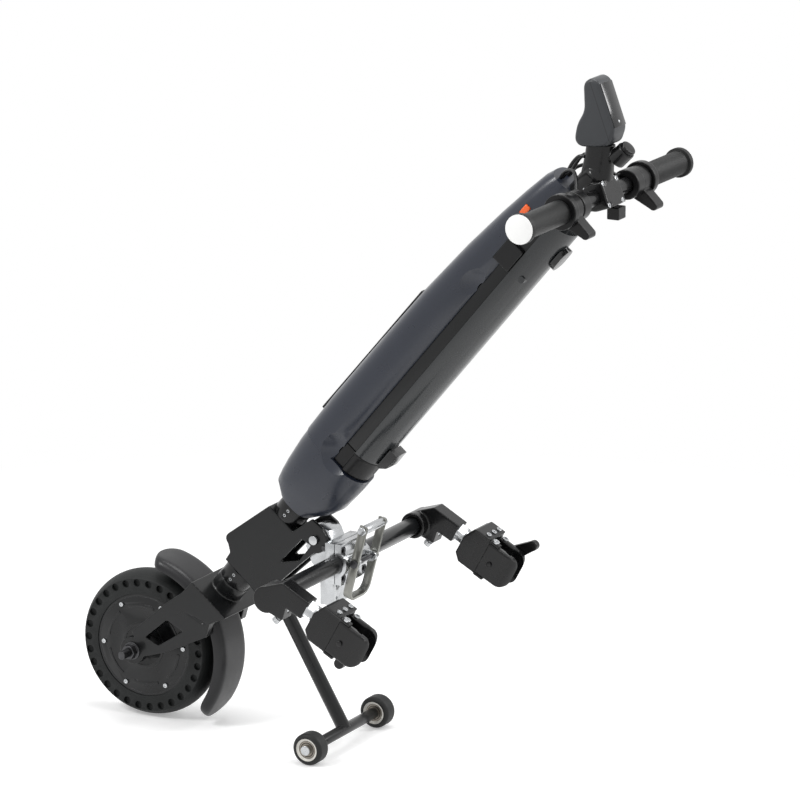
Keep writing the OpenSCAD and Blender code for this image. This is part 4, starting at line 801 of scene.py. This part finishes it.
def battery_case():
    """Semi-gloss battery cover, with the latch and the charging cap standing proud of it in black."""
    m = coated(
        "battery_case", srgb(30, 32, 34), srgb(35, 38, 40), 0.26, 1100.0, 0.000006, coat=0.35, shine=0.4)
    m.tint(m.math("GREATER_THAN", m.along(steer_back, steer_at), BATTERY_BACK), srgb(14, 14, 15))
    return m.mat


def display_case():
    """Grey display housing, with the dark parting line between its two halves."""
    m = coated("display_case", srgb(50, 52, 55), srgb(58, 60, 63), 0.36, 1300.0, 0.00004, shine=0.4)
    face = screen_face()
    inward = m.along(Vector(face.normal), face.center)
    m.tint(m.band(inward, PARTING_AT, PARTING_WIDTH), srgb(36, 37, 39))
    return m.mat


def tyre_rubber():
    """Solid tyre: fine mould grain, faint moulded rings on the wall and a little dust."""
    m = Maker("tyre_rubber")
    dust = m.noise(22.0, 5.0, 0.65)
    grain = m.noise(800.0, 3.0, 0.6)
    away = m.radius(wheel_axle)
    rings = m.math("ADD", *[m.band(away, r, TYRE_RING_WIDTH) for r in TYRE_RINGS])
    height = m.math("ADD", m.math("MULTIPLY", grain, 0.25), rings)
    m.set(Base_Color=m.mix(m.spread(dust, 0.0, 1.0, 0.35, 0.75), srgb(17, 19, 19), srgb(27, 29, 29)))
    m.set(Roughness=m.spread(grain, 0.5, 0.64, 0.3, 0.7))
    m.set(Normal=m.bump(height, RELIEF, 0.5))
    m.set(Specular_IOR_Level=0.3)
    return m.mat


def grip_rubber():
    """Ribbed grip rubber, with a plain white disc on each end."""
    m = Maker("grip_rubber")
    side = m.math("ABSOLUTE", m.axis("Y"))
    end = m.math("GREATER_THAN", side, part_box("grips")[1].y - DISC_WIDTH)
    grain = m.noise(900.0, 3.0)
    ribs = m.math("SINE", m.math("MULTIPLY", side, 2 * math.pi / GRIP_RIB))
    relief = m.math("ADD", m.math("MULTIPLY", ribs, 0.6), m.math("MULTIPLY", grain, 0.4))
    height = m.math("MULTIPLY", m.math("SUBTRACT", 1.0, end), relief)
    black = m.mix(m.noise(30.0, 4.0), srgb(14, 15, 15), srgb(22, 23, 23))
    m.set(Base_Color=m.mix(end, black, (0.97, 0.97, 0.96, 1.0)))
    m.set(Roughness=m.spread(grain, 0.46, 0.6, 0.3, 0.7))
    m.set(Normal=m.bump(height, RELIEF, 0.6))
    m.set(Specular_IOR_Level=0.35)
    return m.mat


def stand_wheel():
    """Rubber tread, a pale ring and a ringed bearing, told apart by the distance from the axle."""
    m = Maker("stand_wheel")
    away = m.radius(stand_axle)
    grain = m.noise(900.0, 3.0)
    tread = m.mix(m.noise(60.0, 4.0), srgb(15, 16, 16), srgb(25, 26, 26))
    pale = m.math("LESS_THAN", away, WHEEL_RING_R)
    inner = m.math("LESS_THAN", away, BEARING_R)
    groove = m.math("ADD", *[m.band(away, r, width) for r, width in GROOVES])
    colour = m.mix(pale, tread, (0.74, 0.72, 0.67, 1.0))
    colour = m.mix(inner, colour, (0.26, 0.235, 0.2, 1.0))
    colour = m.mix(groove, colour, (0.05, 0.045, 0.04, 1.0))
    m.set(Base_Color=colour, Metallic=m.math("MULTIPLY", inner, 0.7))
    m.set(Roughness=m.math("ADD", m.math("MULTIPLY", pale, -0.2), m.spread(grain, 0.48, 0.6, 0.3, 0.7)))
    m.set(Normal=m.bump(grain, WHEEL_RELIEF, 0.4))
    m.set(Specular_IOR_Level=0.35)
    return m.mat


display = display_case()
grip = grip_rubber()
wheel = stand_wheel()
rubber = tyre_rubber()

# Node name to its material
LOOKS = {
    "tyre": rubber, "hub_shell": motor, "hub_covers": motor, "cover_screws": zinc,
    "magnet_ring": dark_steel, "hub_bearings": zinc, "stator": copper, "motor_axle": dark_steel,
    "axle_nuts": dark_steel, "fork": coat_black, "steerer_tube": zinc, "head_collars": anodised,
    "steering_screws": zinc, "head_bearings": zinc, "head_block": coat_black, "pivot_bolts": zinc,
    "coupler_block": aluminium, "coupler_cap": aluminium, "coupler_bolts": dark_steel,
    "cross_tube": coat_black, "arm_left": anodised, "arm_right": anodised, "clamp_studs": zinc,
    "clamp_body_left": anodised, "clamp_body_right": anodised, "clamp_screws": zinc,
    "clamp_rods": anodised, "clamp_lever_left": plastic, "clamp_lever_right": plastic,
    "release_handle": stainless, "handle_roller": zinc, "stand_leg": coat_black,
    "stand_wheel_left": wheel, "stand_wheel_right": wheel, "stand_bolts": zinc,
    "neck_casting": anodised, "column_spine": aluminium, "column_shell": shell_paint(),
    "front_strip": plastic, "battery_dock": plastic, "controller": anodised,
    "battery_pack": battery_band, "battery_cover": battery_case(), "stem_cap": anodised,
    "handlebar": anodised, "grips": grip, "paddle_bodies": plastic, "throttle_paddle": plastic,
    "brake_paddle": plastic, "switch_block": plastic, "display_screen": screen,
    "push_button": plastic, "power_switch": orange,
}

# Rounded edges: node name to the width of its edge round in millimetres
ROUNDS = {
    "display_screen": 1.0, "coupler_block": 0.8, "coupler_cap": 0.8, "release_handle": 0.8,
    "battery_cover": 3.0, "battery_pack": 1.5, "grips": 1.4, "push_button": 2.0, "power_switch": 2.0,
    "hub_covers": 0.7, "hub_shell": 0.8, "head_collars": 1.0, "tyre": 0.8, "stand_leg": 0.8,
    "axle_nuts": 0.5, "coupler_bolts": 0.4, "cover_screws": 0.4, "clamp_screws": 0.3,
    "clamp_studs": 0.5, "steering_screws": 0.25, "pivot_bolts": 0.8, "stand_bolts": 0.5,
    "handle_roller": 0.6, "front_strip": 1.0, "cross_tube": 0.6, "clamp_rods": 0.5,
    "motor_axle": 0.6,
}

# Moulded and cast pieces, rounded all over: node name to grid in millimetres and smoothing steps
MOULDED = {
    "stem_cap": (0.8, 60), "fork": (1.0, 5), "throttle_paddle": (0.8, 10), "brake_paddle": (0.8, 10),
    "paddle_bodies": (0.9, 8), "switch_block": (0.7, 10), "clamp_body_left": (0.9, 20),
    "clamp_body_right": (0.9, 20), "arm_left": (0.9, 12), "arm_right": (0.9, 12),
    "clamp_lever_left": (0.8, 12), "clamp_lever_right": (0.8, 12), "battery_dock": (0.9, 14),
    "head_block": (1.0, 8),
}

# Angles in degrees: sharp edges, shading breaks on a rounded piece, and faces taken as one flat
EDGE_ANGLE = 32
ROUNDED_CRISP_ANGLE = 50
FLAT_ANGLE = 0.5
# Widest edge round that two segments draw, in millimetres
FINE_ROUND = 1.5
# Points closer than this become one, in metres
WELD_GAP = 0.000005


def join_faces(obj):
    """Drops the stored normals and joins the split faces."""
    attributes = obj.data.attributes
    if "custom_normal" in attributes:
        attributes.remove(attributes["custom_normal"])
    weld = obj.modifiers.new("weld", "WELD")
    weld.merge_threshold = WELD_GAP


def smooth(obj, width_mm):
    """Rounds the sharp edges and shades the rest smooth."""
    join_faces(obj)
    polygons = obj.data.polygons
    polygons.foreach_set("use_smooth", [True] * len(polygons))
    if width_mm > 0:
        flat = obj.modifiers.new("flat", "DECIMATE")
        flat.decimate_type = "DISSOLVE"
        flat.angle_limit = math.radians(FLAT_ANGLE)
        bevel = obj.modifiers.new("round", "BEVEL")
        bevel.limit_method = "ANGLE"
        bevel.angle_limit = math.radians(EDGE_ANGLE)
        bevel.width = width_mm / MM
        bevel.segments = 4 if width_mm > FINE_ROUND else 2
    split = obj.modifiers.new("split", "EDGE_SPLIT")
    split.split_angle = math.radians(ROUNDED_CRISP_ANGLE if width_mm > 0 else EDGE_ANGLE)


for name, look in LOOKS.items():
    obj = nodes[name]
    obj.data.materials.clear()
    obj.data.materials.append(look)
    if name in MOULDED:
        join_faces(obj)
        remould(obj, *MOULDED[name])
    else:
        smooth(obj, ROUNDS.get(name, 0.0))
for cable in cables:
    cable.data.materials.append(jacket)
mudguard.data.materials.append(guard)
housing.data.materials.append(display)
stem.data.materials.append(anodised)
webs.data.materials.append(rubber)
for piece in jaws:
    piece.data.materials.append(anodised)
for piece in jaw_screws:
    piece.data.materials.append(zinc)
indicator.data.materials.append(lens)


# Light and floor, in metres and watts

SKY_LIGHT = 0.55
FLOOR_HALF = 12.0
FLOOR_DROP = 0.0004
FLOOR_GLOW = 0.3
# Distances from the middle between which the floor fades to plain white
FADE_FROM = 0.7
FADE_TO = 1.6
# Name, place, aim, size and power of each lamp
LAMPS = (
    ("key", (-1.6, -2.4, 3.0), (0.0, 0.0, 0.4), (1.1, 1.1), 62.0),
    ("top", (0.2, 0.2, 3.4), (0.0, 0.0, 0.4), (1.6, 1.6), 40.0),
    ("rear", (2.2, 1.6, 2.2), (0.0, 0.0, 0.5), (0.6, 1.8), 42.0),
)


def white_rays(add, link):
    """1 for the rays that should see plain white: seen straight, in a mirror or through glass."""
    path = add("ShaderNodeLightPath")
    total = path.outputs["Is Camera Ray"]
    for kind in ("Is Glossy Ray", "Is Transmission Ray"):
        top = add("ShaderNodeMath")
        top.operation = "MAXIMUM"
        link(total, top.inputs[0])
        link(path.outputs[kind], top.inputs[1])
        total = top.outputs["Value"]
    return total


world = bpy.data.worlds.new("world")
scene.world = world
world.use_nodes = True
tree = world.node_tree
tree.nodes.clear()
out = tree.nodes.new("ShaderNodeOutputWorld")
pick = tree.nodes.new("ShaderNodeMixShader")
soft = tree.nodes.new("ShaderNodeBackground")
white = tree.nodes.new("ShaderNodeBackground")
soft.inputs["Color"].default_value = (1.0, 1.0, 1.0, 1.0)
soft.inputs["Strength"].default_value = SKY_LIGHT
white.inputs["Color"].default_value = (1.0, 1.0, 1.0, 1.0)
white.inputs["Strength"].default_value = 1.0
tree.links.new(white_rays(tree.nodes.new, tree.links.new), pick.inputs["Fac"])
tree.links.new(soft.outputs["Background"], pick.inputs[1])
tree.links.new(white.outputs["Background"], pick.inputs[2])
tree.links.new(pick.outputs["Shader"], out.inputs["Surface"])


def lamp(name, where, aim, size, watts):
    """A flat lamp that points at a place."""
    data = bpy.data.lights.new(name, "AREA")
    data.shape = "RECTANGLE"
    data.size, data.size_y = size
    data.energy = watts
    obj = bpy.data.objects.new(name, data)
    scene.collection.objects.link(obj)
    obj.location = where
    obj.rotation_euler = (Vector(aim) - Vector(where)).to_track_quat("-Z", "Y").to_euler()


for row in LAMPS:
    lamp(*row)

floor_mesh = bpy.data.meshes.new("floor")
corners = [(x * FLOOR_HALF, y * FLOOR_HALF, 0) for x, y in ((-1, -1), (1, -1), (1, 1), (-1, 1))]
floor_mesh.from_pydata(corners, [], [(0, 1, 2, 3)])
floor = bpy.data.objects.new("floor", floor_mesh)
floor.location.z = -FLOOR_DROP
scene.collection.objects.link(floor)
paper = Maker("floor_paper")
paper.set(Base_Color=paper.mix(paper.noise(6.0), (0.86, 0.86, 0.86, 1.0), (0.9, 0.9, 0.9, 1.0)))
paper.set(Roughness=0.9, Specular_IOR_Level=0.1)
seen = white_rays(paper.add, paper.link)
glow = paper.add("ShaderNodeEmission")
paper.link(paper.math("MULTIPLY", seen, FLOOR_GLOW), glow.inputs["Strength"])
lit = paper.add("ShaderNodeAddShader")
paper.link(paper.bsdf.outputs["BSDF"], lit.inputs[0])
paper.link(glow.outputs["Emission"], lit.inputs[1])
away = paper.add("ShaderNodeVectorMath", operation="LENGTH")
paper.link(paper.coord, away.inputs[0])
far = paper.spread(away.outputs["Value"], 0.0, 1.0, FADE_FROM, FADE_TO)
sheet = paper.add("ShaderNodeEmission")
blank = paper.add("ShaderNodeMixShader")
paper.link(paper.math("MULTIPLY", far, seen), blank.inputs["Fac"])
paper.link(lit.outputs["Shader"], blank.inputs[1])
paper.link(sheet.outputs["Emission"], blank.inputs[2])
paper.link(blank.outputs["Shader"], paper.tree.nodes["Material Output"].inputs["Surface"])
floor_mesh.materials.append(paper.mat)
